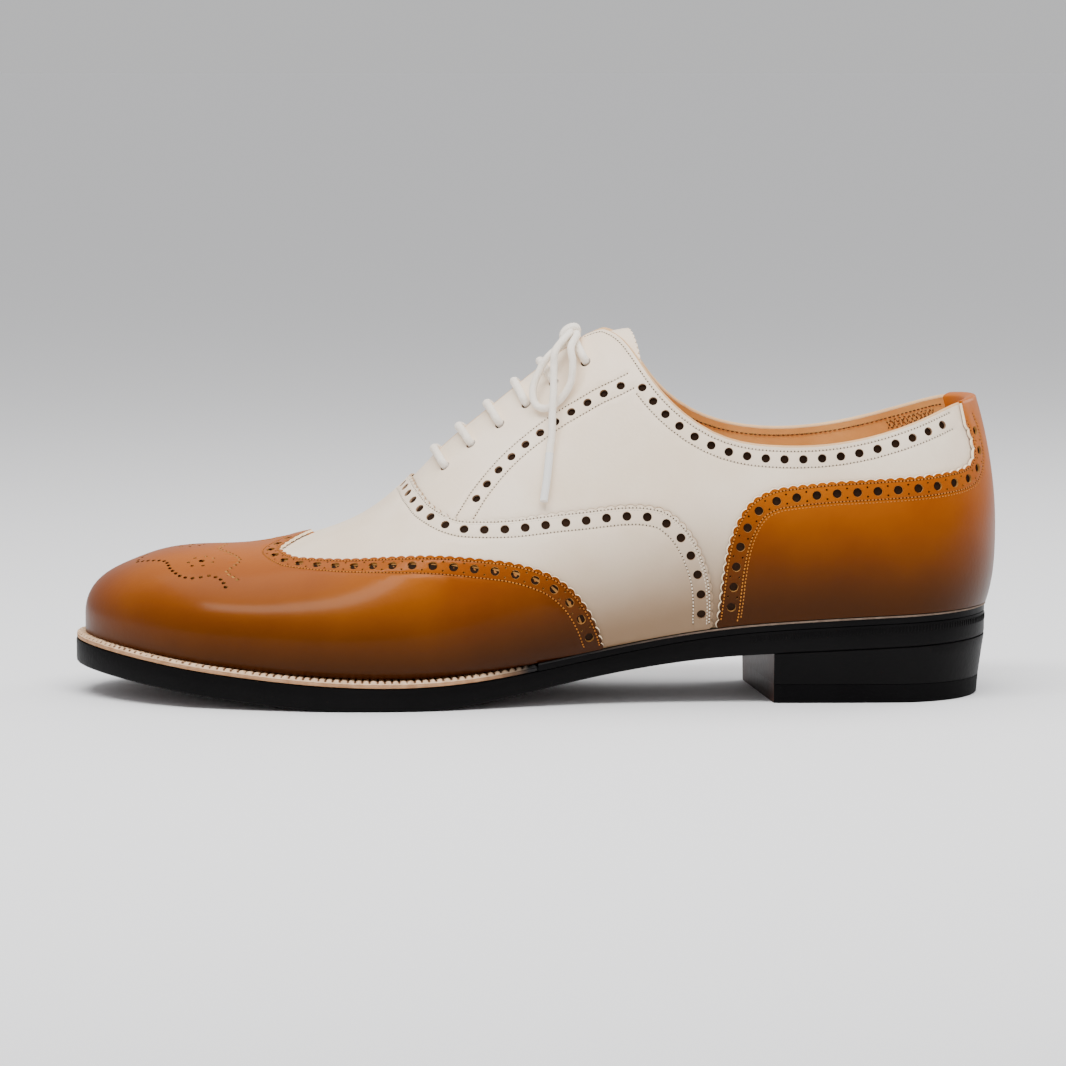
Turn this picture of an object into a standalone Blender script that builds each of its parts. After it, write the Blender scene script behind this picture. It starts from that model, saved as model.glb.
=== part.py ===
"""Left spectator shoe: hollow upper, overlays, tongue, insole, welted sole, heel and lace, at rest.

Frame: toe -X, heel +X, lateral side -Y, medial side +Y, up +Z. The origin is the middle of the
heel's ground face. "run" goes along the foot line from the heel back to the toe tip, and "rise"
goes up a rib from the foot line (0) over the ridge (1) to the other foot line (2)."""

import math

import bpy
import numpy as np
from mathutils import Matrix, Vector
from mathutils.geometry import delaunay_2d_cdt

MM = 0.001
LAST_LENGTH = 296 * MM
BALL_WIDTH = 94 * MM
INSTEP_HEIGHT = 100 * MM
BACK_HEIGHT = 67 * MM
HEEL_HEIGHT = 20.2 * MM
TOE_SPRING = 10 * MM
HEEL_ROUND = 31 * MM
TOE_ROUND = 44 * MM
CONE_BACK = 26 * MM
CONE_END = 0.30
FAN = 14 * MM
FAN_START = 0.80

FIT_GAP = 0.3 * MM
SKIN_GAP = 0.45 * MM
WALL = 2.2 * MM
UPPER_DEPTH = 0.4 * MM
VAMP_THICKNESS = 0.7 * MM
OVERLAY_THICKNESS = 0.8 * MM
TONGUE_THICKNESS = 1.6 * MM
SOLE_THICKNESS = 7.2 * MM
WELT_THICKNESS = 2.4 * MM
WELT_MARGIN = 5.0 * MM
WELT_INSET = 6.5 * MM
INSOLE_THICKNESS = 2.6 * MM
SEAT_DROP = 0.5 * MM
TOP_PIECE = 6.0 * MM
HEEL_LENGTH = 71 * MM
HEEL_TAPER = 2.4 * MM
HEEL_SKEW = 8 * MM
THROAT_GAP = 3.5 * MM
LACE_RADIUS = 1.25 * MM
AGLET_RADIUS = 1.45 * MM
LATTICE = 8.0 * MM

# share of last length from the heel back; lateral and medial half widths in ball widths;
# lift in heel heights; spring in toe springs
FOOT_LINE = [
    (0.00, 0.350, 0.330, 1.000, 0.00),
    (0.08, 0.356, 0.330, 0.955, 0.00),
    (0.15, 0.362, 0.319, 0.905, 0.00),
    (0.22, 0.365, 0.298, 0.845, 0.00),
    (0.30, 0.367, 0.255, 0.740, 0.00),
    (0.38, 0.376, 0.229, 0.555, 0.00),
    (0.46, 0.404, 0.250, 0.330, 0.00),
    (0.54, 0.455, 0.330, 0.125, 0.00),
    (0.62, 0.508, 0.420, 0.020, 0.00),
    (0.69, 0.525, 0.468, 0.000, 0.03),
    (0.76, 0.510, 0.479, 0.000, 0.14),
    (0.83, 0.468, 0.463, 0.000, 0.33),
    (0.90, 0.410, 0.420, 0.000, 0.58),
    (1.00, 0.320, 0.340, 0.000, 1.00),
]
# share of last length; lateral and medial overhang and belly height in ball widths
BELLY = [
    (0.00, 0.030, 0.030, 0.266),
    (0.10, 0.022, 0.022, 0.255),
    (0.22, 0.022, 0.043, 0.245),
    (0.36, 0.048, 0.085, 0.245),
    (0.50, 0.052, 0.080, 0.202),
    (0.66, 0.036, 0.042, 0.138),
    (0.80, 0.020, 0.022, 0.117),
    (0.92, 0.008, 0.010, 0.085),
    (1.00, 0.000, 0.000, 0.060),
]
# share of last length; height above the foot line in instep heights; offset to the medial side
# in ball widths; side fullness; top fullness
RIDGE = [
    (0.030, 0.960, 0.000, 0.39, 0.60),
    (0.120, 0.975, 0.000, 0.46, 0.62),
    (0.220, 0.990, -0.010, 0.54, 0.62),
    (0.320, 1.015, -0.010, 0.45, 0.60),
    (0.390, 1.028, -0.010, 0.38, 0.52),
    (0.430, 1.030, -0.010, 0.35, 0.46),
    (0.455, 1.001, -0.010, 0.34, 0.43),
    (0.500, 0.930, -0.005, 0.34, 0.42),
    (0.560, 0.812, 0.005, 0.35, 0.42),
    (0.610, 0.698, 0.016, 0.37, 0.43),
    (0.656, 0.563, 0.027, 0.40, 0.46),
    (0.698, 0.470, 0.034, 0.43, 0.50),
    (0.743, 0.409, 0.037, 0.46, 0.53),
    (0.788, 0.362, 0.037, 0.49, 0.55),
    (0.833, 0.330, 0.034, 0.51, 0.56),
    (0.878, 0.311, 0.027, 0.53, 0.56),
    (0.922, 0.277, 0.016, 0.55, 0.56),
    (0.953, 0.232, 0.008, 0.56, 0.56),
]
# share of last length; lateral and medial collar height above the foot line in back heights
COLLAR = [
    (0.000, 1.005, 1.005),
    (0.030, 0.985, 0.995),
    (0.060, 0.945, 0.965),
    (0.120, 0.872, 0.905),
    (0.180, 0.838, 0.868),
    (0.240, 0.850, 0.874),
    (0.290, 0.905, 0.930),
    (0.340, 1.055, 1.065),
    (0.380, 1.275, 1.275),
    (0.405, 1.448, 1.448),
    (0.418, 1.500, 1.500),
    (0.430, 1.525, 1.525),
    (0.450, 1.540, 1.540),
]
# share of last length; margin past the foot line in welt margins; thickness in sole thicknesses
SOLE_EDGE = [
    (0.00, 0.06, 1.00),
    (0.24, 0.14, 0.96),
    (0.40, 0.20, 0.76),
    (0.50, 0.48, 0.78),
    (0.60, 0.88, 0.97),
    (0.80, 0.96, 1.00),
    (1.00, 1.00, 1.00),
]
# share of the run, share of the rise: front edge of the pinked wing, from the ridge to the foot line
WING_EDGE = [
    (0.7074, 1.000), (0.7206, 0.916), (0.7354, 0.777), (0.7325, 0.706), (0.7239, 0.640),
    (0.7130, 0.602), (0.6806, 0.546), (0.6347, 0.487), (0.5889, 0.423), (0.5442, 0.366),
    (0.5207, 0.335), (0.4979, 0.297), (0.4749, 0.249), (0.4560, 0.191), (0.4417, 0.125),
    (0.4312, 0.054), (0.4270, 0.000),
]
# top edge of the vamp, from the ridge below the throat to the foot line
VAMP_EDGE = [
    (0.6130, 1.000), (0.6095, 0.900), (0.6060, 0.815), (0.6008, 0.742), (0.5929, 0.659),
    (0.5815, 0.592), (0.5703, 0.548), (0.5553, 0.516), (0.5156, 0.467), (0.4697, 0.430),
    (0.4329, 0.402), (0.3955, 0.386), (0.3766, 0.370), (0.3650, 0.353), (0.3525, 0.319),
    (0.3428, 0.282), (0.3336, 0.230), (0.3250, 0.154), (0.3220, 0.080), (0.3225, 0.000),
]
# edge of the counter and its back strip, from the foot line to the collar
COUNTER_EDGE = [
    (0.3180, 0.000), (0.3145, 0.086), (0.3115, 0.164), (0.3062, 0.241), (0.2971, 0.305),
    (0.2847, 0.351), (0.2659, 0.378), (0.2448, 0.387), (0.2072, 0.394), (0.1658, 0.396),
    (0.1247, 0.399), (0.0914, 0.412), (0.0695, 0.430), (0.0590, 0.464), (0.0583, 0.511),
    (0.0640, 0.563),
]
# edge of the tongue, from its lower end on the ridge to its top on the ridge
TONGUE_EDGE = [
    (0.6800, 1.000), (0.6700, 0.860), (0.6400, 0.790), (0.5800, 0.745), (0.5000, 0.735),
    (0.4500, 0.735), (0.4100, 0.740), (0.3920, 0.765), (0.3930, 0.850), (0.4020, 1.000),
]
# lace bars: run and rise of the lateral eyelet, and the bar's run on the ridge
BARS = [
    (0.5798, 0.810, 0.5880),
    (0.5549, 0.834, 0.5640),
    (0.5269, 0.836, 0.5365),
    (0.5013, 0.845, 0.5100),
    (0.4746, 0.861, 0.4848),
    (0.4436, 0.863, 0.4530),
]
# bow, lateral side, after it leaves the knot: run, rise, and height of the cord's middle over the
# upper in lace radii
LOOP = [
    (0.4700, 0.905, 4.5), (0.4811, 0.880, 3.9), (0.4900, 0.842, 2.8), (0.4900, 0.795, 1.6),
    (0.4800, 0.764, 1.2), (0.4670, 0.768, 1.2), (0.4560, 0.795, 2.0), (0.4505, 0.840, 3.8),
    (0.4500, 0.885, 4.6),
]
END = [
    (0.4605, 0.880, 7.2), (0.4650, 0.842, 6.2), (0.4690, 0.785, 4.6), (0.4716, 0.745, 3.8),
    (0.4756, 0.660, 1.9), (0.4777, 0.631, 1.5), (0.4809, 0.555, 1.3), (0.4850, 0.478, 1.3),
]
# where each cord leaves the knot: along the ridge to the toe, across it and over it, in lace radii
LOOP_OUT = (1.5, 4.2, -0.3)
LOOP_BACK = (-1.5, 4.2, -0.3)
END_OUT = (0.2, 3.4, 2.4)
AGLET_LENGTH = 17 * MM
KNOT_RUN = 0.4570
# half sizes of the knot along, across and over the ridge, in lace radii
KNOT_SIZE = (3.2, 3.9, 2.1)

LATERAL = -1
MEDIAL = 1


# colour, roughness, metallic value
LOOKS = {
    "tan_leather": ((0.56, 0.17, 0.02), 0.28, 0.0),
    "ivory_leather": ((0.82, 0.77, 0.68), 0.40, 0.0),
    "natural_leather": ((0.72, 0.47, 0.26), 0.50, 0.0),
    "lining_leather": ((0.70, 0.42, 0.14), 0.60, 0.0),
    "black_edge": ((0.012, 0.011, 0.011), 0.35, 0.0),
    "heel_rubber": ((0.015, 0.015, 0.016), 0.70, 0.0),
    "lace_cotton": ((0.86, 0.84, 0.80), 0.85, 0.0),
    "aglet_plastic": ((0.84, 0.82, 0.78), 0.25, 0.0),
}


def clear_scene():
    for thing in list(bpy.data.objects):
        bpy.data.objects.remove(thing)


def material(look):
    found = bpy.data.materials.get(look)
    if found is None:
        colour, roughness, metallic = LOOKS[look]
        found = bpy.data.materials.new(look)
        found.use_nodes = True
        shader = found.node_tree.nodes["Principled BSDF"]
        shader.inputs["Base Color"].default_value = (*colour, 1)
        shader.inputs["Roughness"].default_value = roughness
        shader.inputs["Metallic"].default_value = metallic
    return found


def place(thing, look):
    """Put a piece in the shoe's collection, on its heel empty, with its material."""
    for holder in list(thing.users_collection):
        holder.objects.unlink(thing)
    shoe.objects.link(thing)
    thing.parent = heel_origin
    thing.data.materials.append(material(look))
    return thing


def spline(rows, column):
    """Natural cubic spline through one column of a table, over its first column."""
    x = np.array([row[0] for row in rows], float)
    y = np.array([row[column] for row in rows], float)
    h = np.diff(x)
    count = len(x)
    left = np.eye(count)
    right = np.zeros(count)
    for i in range(1, count - 1):
        left[i, i - 1:i + 2] = h[i - 1], 2 * (h[i - 1] + h[i]), h[i]
        right[i] = 6 * ((y[i + 1] - y[i]) / h[i] - (y[i] - y[i - 1]) / h[i - 1])
    bend = np.linalg.solve(left, right)

    def value(at):
        at = np.asarray(at, float)
        i = np.clip(np.searchsorted(x, at) - 1, 0, count - 2)
        a = (x[i + 1] - at) / h[i]
        b = 1 - a
        curve = (a**3 - a) * bend[i] + (b**3 - b) * bend[i + 1]
        return a * y[i] + b * y[i + 1] + curve * h[i]**2 / 6

    return value


half_width = {LATERAL: spline(FOOT_LINE, 1), MEDIAL: spline(FOOT_LINE, 2)}
heel_lift = spline(FOOT_LINE, 3)
toe_lift = spline(FOOT_LINE, 4)
overhang = {LATERAL: spline(BELLY, 1), MEDIAL: spline(BELLY, 2)}
belly_height = spline(BELLY, 3)
ridge_height = spline(RIDGE, 1)
ridge_offset = spline(RIDGE, 2)
side_fullness = spline(RIDGE, 3)
top_fullness = spline(RIDGE, 4)
collar_height = {LATERAL: spline(COLLAR, 1), MEDIAL: spline(COLLAR, 2)}
edge_margin = spline(SOLE_EDGE, 1)
edge_thickness = spline(SOLE_EDGE, 2)

HEEL_ARC = HEEL_ROUND * math.pi / 2
TOE_ARC = TOE_ROUND * math.pi / 2
RUN = HEEL_ARC + LAST_LENGTH - HEEL_ROUND - TOE_ROUND + TOE_ARC


def tread_z(share):
    """Height of the sole line's lift over the ground, from heel height and toe spring."""
    return heel_lift(share) * HEEL_HEIGHT + toe_lift(share) * TOE_SPRING


def foot_z(share):
    return SOLE_THICKNESS + WELT_THICKNESS + 2 * FIT_GAP + tread_z(share)


def ridge_z(share):
    return foot_z(share) + ridge_height(share) * INSTEP_HEIGHT


def along(run):
    """Distance from the heel back, and the rounding of the width there."""
    if run < HEEL_ARC:
        return HEEL_ROUND * (1 - math.cos(run / HEEL_ROUND)), math.sin(run / HEEL_ROUND)
    if run < RUN - TOE_ARC:
        return HEEL_ROUND + run - HEEL_ARC, 1.0
    turn = max((RUN - run) / TOE_ROUND, 0)
    return LAST_LENGTH - TOE_ROUND * (1 - math.cos(turn)), math.sin(turn)


def foot_point(side, run):
    a, rounding = along(run)
    share = a / LAST_LENGTH
    return np.array([-a, side * half_width[side](share) * BALL_WIDTH * rounding, foot_z(share)])


def outward(side, run):
    """Level direction out of the shoe at the foot line."""
    step = 0.5 * MM
    if run < step:
        return np.array([1.0, 0, 0])
    if run > RUN - step:
        return np.array([-1.0, 0, 0])
    d = foot_point(side, run + step) - foot_point(side, run - step)
    n = np.array([d[1], -d[0], 0]) * side
    return n / np.linalg.norm(n)


def ridge_along(a):
    """Where the rib from a station meets the ridge: the ribs fan in at toe and heel."""
    share = a / LAST_LENGTH
    if share > FAN_START:
        return a - FAN * ((share - FAN_START) / (1 - FAN_START))**2
    if share < CONE_END:
        return a + CONE_BACK * (1 - share / CONE_END)**2
    return a


def rib(side, run, count):
    """Points at equal steps up one rib, from the foot line to the ridge."""
    a = along(run)[0]
    share = a / LAST_LENGTH
    foot = foot_point(side, run)
    out = outward(side, run)
    up = np.array([0, 0, 1.0])
    rise = belly_height(share) * BALL_WIDTH
    over = overhang[side](share) * BALL_WIDTH
    belly = foot + out * over + up * rise
    top_share = ridge_along(a) / LAST_LENGTH
    top = np.array([-top_share * LAST_LENGTH, ridge_offset(top_share) * BALL_WIDTH, ridge_z(top_share)])
    flat = (belly - top) * (1, 1, 0)
    reach = np.linalg.norm(flat)
    flat /= reach
    step = 0.004
    slope = (ridge_z(top_share + step) - ridge_z(top_share - step)) / (2 * step * LAST_LENGTH)
    over_top = flat - up * slope * flat[0] * (share > 0.5)
    over_top /= np.linalg.norm(over_top)
    lower = (foot, foot + out * over * 0.8 + up * rise * 0.3, belly - up * rise * 0.5, belly)
    shoulder = belly + up * (top[2] - belly[2]) * side_fullness(share)
    upper = (belly, shoulder, top + over_top * reach * top_fullness(top_share), top)
    t = np.linspace(0, 1, 31)[:, None]
    halves = [
        (1 - t)**3 * p[0] + 3 * (1 - t)**2 * t * p[1] + 3 * (1 - t) * t**2 * p[2] + t**3 * p[3]
        for p in (lower, upper)
    ]
    points = np.vstack([halves[0], halves[1][1:]])
    reached = np.r_[0, np.cumsum(np.linalg.norm(np.diff(points, axis=0), axis=1))]
    at = np.linspace(0, reached[-1], count)
    return np.stack([np.interp(at, reached, points[:, i]) for i in range(3)], 1)


RUNS = 181
RISES = 61


def last_lattice():
    """Points and normals of the last over run (rows) and rise 0 to 2 (columns)."""
    runs = np.linspace(0, RUN, RUNS)
    near = np.array([rib(LATERAL, run, RISES) for run in runs])
    far = np.array([rib(MEDIAL, run, RISES) for run in runs])
    points = np.concatenate([near, far[:, -2::-1]], axis=1)
    padded = np.concatenate([points[1:2, ::-1], points, points[-2:-1, ::-1]])
    along_run = (padded[2:] - padded[:-2])
    up_rib = np.gradient(points, axis=1)
    normals = np.cross(up_rib, along_run)
    normals[:, 0, 2] = 0
    normals[:, -1, 2] = 0
    middle = RISES - 1
    for end in (0, -1):
        normals[end, middle] = normals[end, middle - 1] + normals[end, middle + 1]
    normals /= np.linalg.norm(normals, axis=2)[..., None]
    return points, normals


POINTS, NORMALS = last_lattice()


def on_last(where, height=0.0):
    """Points over the last at (run share, rise) places, lifted along the normals."""
    where = np.atleast_2d(np.asarray(where, float))
    i = np.clip(where[:, 0], 0, 1) * (RUNS - 1)
    j = np.clip(where[:, 1], 0, 2) * (RISES - 1)
    i0 = np.minimum(i.astype(int), RUNS - 2)
    j0 = np.minimum(j.astype(int), 2 * RISES - 3)
    fi = (i - i0)[:, None]
    fj = (j - j0)[:, None]
    found = []
    for grid in (POINTS, NORMALS):
        low = grid[i0, j0] * (1 - fi) + grid[i0 + 1, j0] * fi
        high = grid[i0, j0 + 1] * (1 - fi) + grid[i0 + 1, j0 + 1] * fi
        found.append(low * (1 - fj) + high * fj)
    normal = found[1] / np.linalg.norm(found[1], axis=1)[:, None]
    return found[0] + normal * np.reshape(height, (-1, 1))


def mirrored(edge):
    return [(run, 2 - rise) for run, rise in edge]


def dense(edge, step=0.65 * LATTICE):
    """The edge with points added until none are further apart than a step over the last."""
    found = [edge[0]]
    for start, end in zip(edge, edge[1:]):
        reach = np.linalg.norm(on_last(end) - on_last(start))
        count = max(1, math.ceil(reach / step))
        found += [tuple(np.array(start) + (np.array(end) - start) * k / count) for k in range(1, count + 1)]
    return found


def lines(count):
    return [k / count for k in range(count + 1)]


RUN_LINES = lines(round(RUN / LATTICE))
RISE_LINES = lines(11)


def foot_edge(start, end, rise):
    """Along a foot line, with a point on each lattice line."""
    inner = [line for line in RUN_LINES if min(start, end) + 0.004 < line < max(start, end) - 0.004]
    if end < start:
        inner.reverse()
    return [(run, rise) for run in [start, *inner, end]]


def centre_edge(run, start, end):
    """Up or down a centre line at heel or toe, with a point on each lattice line."""
    all_lines = sorted({*RISE_LINES, *(2 - line for line in RISE_LINES)})
    inner = [line for line in all_lines if min(start, end) + 0.02 < line < max(start, end) - 0.02]
    if end < start:
        inner.reverse()
    return [(run, rise) for rise in [start, *inner, end]]


def joined(*edges):
    """One closed outline from edges that follow each other, without repeated places."""
    found = []
    for edge in edges:
        for place in edge:
            if not found or math.dist(found[-1], place) > 1e-6:
                found.append(tuple(place))
    if math.dist(found[0], found[-1]) < 1e-6:
        found.pop()
    return found


def is_inside(outline, place):
    x, y = place
    found = False
    for (x0, y0), (x1, y1) in zip(outline, outline[1:] + outline[:1]):
        if (y0 > y) != (y1 > y) and x < x0 + (y - y0) * (x1 - x0) / (y1 - y0):
            found = not found
    return found


def far_from(outline, place, least):
    corners = np.array(outline)
    ends = np.roll(corners, -1, axis=0)
    span = ends - corners
    t = ((np.array(place) - corners) * span).sum(1) / np.maximum((span**2).sum(1), 1e-12)
    nearest = corners + np.clip(t, 0, 1)[:, None] * span
    return np.linalg.norm(nearest - place, axis=1).min() > least


def panel(outline):
    """Places and triangles that fill an outline drawn in run and rise."""
    scale = np.array([RUN, 0.1])
    flat = [tuple(np.array(place) * scale) for place in outline]
    least = 0.26 * LATTICE
    inner = []
    for run in RUN_LINES:
        for rise in sorted({*RISE_LINES, *(2 - line for line in RISE_LINES)}):
            place = (run * scale[0], rise * scale[1])
            if is_inside(flat, place) and far_from(flat, place, least):
                inner.append(place)
    corners = [Vector(place) for place in flat + inner]
    count = len(flat)
    sides = [(k, (k + 1) % count) for k in range(count)]
    places, _, faces, *_ = delaunay_2d_cdt(corners, sides, [], 0, 1e-7)
    places = [tuple(place) for place in places]
    kept = []
    for face in faces:
        a, b, c = (np.array(places[k]) for k in face)
        area = ((b[0] - a[0]) * (c[1] - a[1]) - (b[1] - a[1]) * (c[0] - a[0])) / 2
        if abs(area) > 1e-4 * LATTICE**2 and is_inside(flat, (a + b + c) / 3):
            kept.append(tuple(face) if area > 0 else tuple(face[::-1]))
    return np.array(places) / scale, kept


def make(name, look, points, faces):
    """A mesh piece with its faces pointing out, shaded smooth but for its sharp edges."""
    points = [Vector(point) for point in points]
    volume = 0
    for face in faces:
        for k in range(1, len(face) - 1):
            volume += points[face[0]].dot(points[face[k]].cross(points[face[k + 1]]))
    if volume < 0:
        faces = [face[::-1] for face in faces]
    mesh = bpy.data.meshes.new(name)
    mesh.from_pydata([tuple(point) for point in points], [], faces)
    mesh.shade_smooth()
    mesh.set_sharp_from_angle(angle=math.radians(40))
    return place(bpy.data.objects.new(name, mesh), look)


def skin(name, look, outlines, low, high):
    """A closed shell over the last between two heights, filling the outlines."""
    places = []
    faces = []
    for outline in outlines:
        found, triangles = panel(outline)
        faces += [tuple(k + len(places) for k in face) for face in triangles]
        places += [tuple(place) for place in found]
    keys = {}
    weld = []
    kept = []
    for run, rise in places:
        folded = min(rise, 2 - rise) if min(run, 1 - run) < 1e-6 else rise
        key = (round(run, 5), round(folded, 5))
        if key not in keys:
            keys[key] = len(kept)
            kept.append((run, folded))
        weld.append(keys[key])
    faces = [tuple(weld[k] for k in face) for face in faces]
    sets = [tuple(sorted(face)) for face in faces]
    faces = [face for face, key in zip(faces, sets) if len(set(key)) == 3 and sets.count(key) == 1]
    mesh = bpy.data.meshes.new(name)
    mesh.from_pydata([tuple(point) for point in on_last(kept, high)], [], faces)
    mesh.shade_smooth()
    thing = place(bpy.data.objects.new(name, mesh), look)
    if facing_in(mesh):
        mesh.flip_normals()
    thickness = thing.modifiers.new("wall", "SOLIDIFY")
    thickness.thickness = high - low
    thickness.offset = -1
    thickness.use_quality_normals = True
    return thing


def facing_in(mesh):
    """Whether the faces look towards the inside of the last."""
    middle = Vector((-LAST_LENGTH / 2, 0, foot_z(0.5)))
    return sum((face.center - middle).dot(face.normal) * face.area for face in mesh.polygons) < 0


def collar_rise(side, run_share):
    """The rise at which the rib reaches the collar."""
    column = 2 * (RISES - 1) if side == MEDIAL else 0
    rises = np.linspace(0, 1, RISES)
    ribs = on_last([(run_share, rise if side == LATERAL else 2 - rise) for rise in rises])
    share = along(run_share * RUN)[0] / LAST_LENGTH
    level = foot_z(share) + collar_height[side](share) * BACK_HEIGHT
    k = int(np.argmax(ribs[:, 2] > level)) if (ribs[:, 2] > level).any() else RISES - 1
    low, high = ribs[k - 1, 2], ribs[k, 2]
    rise = rises[k - 1] + (rises[k] - rises[k - 1]) * min((level - low) / (high - low), 1)
    return rise if column == 0 else 2 - rise


def throat_rise(side, run_share, gap):
    """The rise at which the rib is half a throat gap from the ridge."""
    length = np.linalg.norm(on_last((run_share, 1)) - on_last((run_share, 1 + side * 0.1))) / 0.1
    return 1 + side * gap / 2 / length


THROAT_END = 0.5960
THROAT_TOP = 0.4440
COLLAR_FRONT = 0.4260


def opening_edge(side):
    """Collar and throat edge of one side, from the heel back to the throat's lower end."""
    collar_runs = [0.0, 0.030, 0.060, 0.090, 0.125, 0.165, 0.205, 0.245, 0.285, 0.320, 0.350, 0.375]
    collar_runs += [0.392, 0.405, 0.415, COLLAR_FRONT]
    edge = [(run, collar_rise(side, run)) for run in collar_runs]
    edge.append((0.4350, throat_rise(side, 0.4350, THROAT_GAP * 1.9)))
    edge.append((THROAT_TOP, throat_rise(side, THROAT_TOP, THROAT_GAP)))
    throat_runs = [0.470, 0.495, 0.520, 0.545, 0.570, 0.588]
    edge += [(run, throat_rise(side, run, THROAT_GAP)) for run in throat_runs]
    return edge + [(THROAT_END, 1.0)]


def add_upper():
    near = opening_edge(LATERAL)
    far = opening_edge(MEDIAL)
    outline = joined(
        near,
        far[::-1],
        centre_edge(0.0, far[0][1], 2.0),
        foot_edge(0.0, 1.0, 2.0),
        centre_edge(1.0, 2.0, 0.0),
        foot_edge(1.0, 0.0, 0.0),
        centre_edge(0.0, 0.0, near[0][1]),
    )
    skin("upper", "ivory_leather", [outline], -UPPER_DEPTH - WALL, -UPPER_DEPTH)


def front_outline(edge):
    edge = dense(edge)
    return joined(
        edge,
        foot_edge(edge[-1][0], 1.0, 0.0),
        centre_edge(1.0, 0.0, 2.0),
        foot_edge(1.0, edge[-1][0], 2.0),
        mirrored(edge)[::-1],
    )


def add_vamp():
    low = SKIN_GAP - UPPER_DEPTH
    skin("vamp", "ivory_leather", [front_outline(VAMP_EDGE)], low, low + VAMP_THICKNESS)


def add_wing_cap():
    low = 2 * SKIN_GAP + VAMP_THICKNESS - UPPER_DEPTH
    skin("wing_cap", "tan_leather", [front_outline(WING_EDGE)], low, low + OVERLAY_THICKNESS)


def add_heel_counter():
    halves = []
    for side in (LATERAL, MEDIAL):
        edge = COUNTER_EDGE if side == LATERAL else mirrored(COUNTER_EDGE)
        foot = edge[0][1]
        collar = [(run, collar_rise(side, run)) for run in (0.060, 0.030, 0.0)]
        halves.append(joined(
            dense(edge),
            collar,
            centre_edge(0.0, collar[-1][1], foot),
            foot_edge(0.0, edge[0][0], foot),
        ))
    low = SKIN_GAP - UPPER_DEPTH
    skin("heel_counter", "tan_leather", halves, low, low + OVERLAY_THICKNESS)


def add_tongue():
    edge = dense(TONGUE_EDGE)
    high = -UPPER_DEPTH - WALL - SKIN_GAP
    outline = joined(edge, mirrored(edge)[::-1])
    skin("tongue", "ivory_leather", [outline], high - TONGUE_THICKNESS, high)


def plan_runs(count=30):
    """Runs along the foot line, closer together round toe and heel."""
    return [RUN * k / count for k in range(count + 1)]


def plan_point(side, run, margin):
    point = foot_point(side, run)
    return point + outward(side, run) * margin


def plate(layers, count=30, runs=None):
    """A solid from closed level loops: each layer is (margin over the run, height over the share)."""
    runs = plan_runs(count) if runs is None else runs
    points = []
    loops = []
    for margin, height in layers:
        loop = []
        for side in (LATERAL, MEDIAL):
            order = runs if side == LATERAL else runs[::-1]
            for run in order:
                if side == MEDIAL and run in (runs[0], runs[-1]) and abs(along(run)[1]) < 1e-6:
                    continue
                share = along(run)[0] / LAST_LENGTH
                x, y, _ = plan_point(side, run, margin(share))
                loop.append(len(points))
                points.append((x, y, height(-x / LAST_LENGTH)))
        loops.append(loop)
    return points, loops, runs


def close_loops(name, look, points, loops):
    """Side walls between the loops and flat-across caps at the first (bottom) and last (top)."""
    faces = []
    count = len(loops[0])
    for low, high in zip(loops, loops[1:]):
        for k in range(count):
            n = (k + 1) % count
            faces.append((low[k], high[k], high[n], low[n]))
    for loop, up in ((loops[0], False), (loops[-1], True)):
        first, last = 0, count // 2
        for k in range(first, last):
            a, b = loop[k], loop[k + 1]
            c, d = loop[(count - k - 1) % count], loop[(count - k) % count]
            face = [a, b, c, d]
            face = [place for i, place in enumerate(face) if place not in face[:i]]
            faces.append(tuple(face[::-1]) if up else tuple(face))
    make(name, look, points, faces)


def add_plate(name, look, layers, count=30):
    points, loops, _ = plate(layers, count)
    close_loops(name, look, points, loops)


def sole_margin(inset=0.0):
    return lambda share: edge_margin(share) * WELT_MARGIN - inset


def inside_margin(inset):
    return lambda share: -inset


def sole_top(share):
    return SOLE_THICKNESS + tread_z(share)


def sole_bottom(share):
    lowest = sole_top(share) - SOLE_THICKNESS * edge_thickness(share) - SEAT_DROP
    return max(float(lowest), 0.0)


def add_outsole():
    add_plate("outsole", "black_edge", [
        (sole_margin(1.2 * MM), sole_bottom),
        (sole_margin(), lambda share: sole_bottom(share) + 1.0 * MM),
        (sole_margin(), lambda share: sole_top(share) - 0.5 * MM),
        (sole_margin(0.4 * MM), sole_top),
    ], 30)


def add_strip(name, look, start, end, margins, heights):
    """A band along the foot line, from one side round an end to the other side."""
    path = []
    steps = 22
    first = np.linspace(start, end, steps)
    for run in first:
        path.append((LATERAL, run))
    for run in first[::-1]:
        if abs(along(run)[1]) > 1e-6:
            path.append((MEDIAL, run))
    points = []
    faces = []
    for side, run in path:
        share = along(run)[0] / LAST_LENGTH
        outer = margins[1](share)
        inner = margins[0](share)
        bevel = 0.5 * MM
        for margin, height in (
            (inner, heights[0]), (outer, heights[0]), (outer, heights[1] - bevel),
            (outer - bevel, heights[1]), (inner, heights[1]),
        ):
            x, y, _ = plan_point(side, run, margin)
            points.append((x, y, sole_top(-x / LAST_LENGTH) + height))
    corners = 5
    for k in range(len(path) - 1):
        for c in range(corners):
            n = (c + 1) % corners
            a, b = k * corners, (k + 1) * corners
            faces.append((a + c, b + c, b + n, a + n))
    faces.append(tuple(range(corners)))
    last = (len(path) - 1) * corners
    faces.append(tuple(last + c for c in reversed(range(corners))))
    make(name, look, points, faces)


WAIST_JOIN = 0.49


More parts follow.
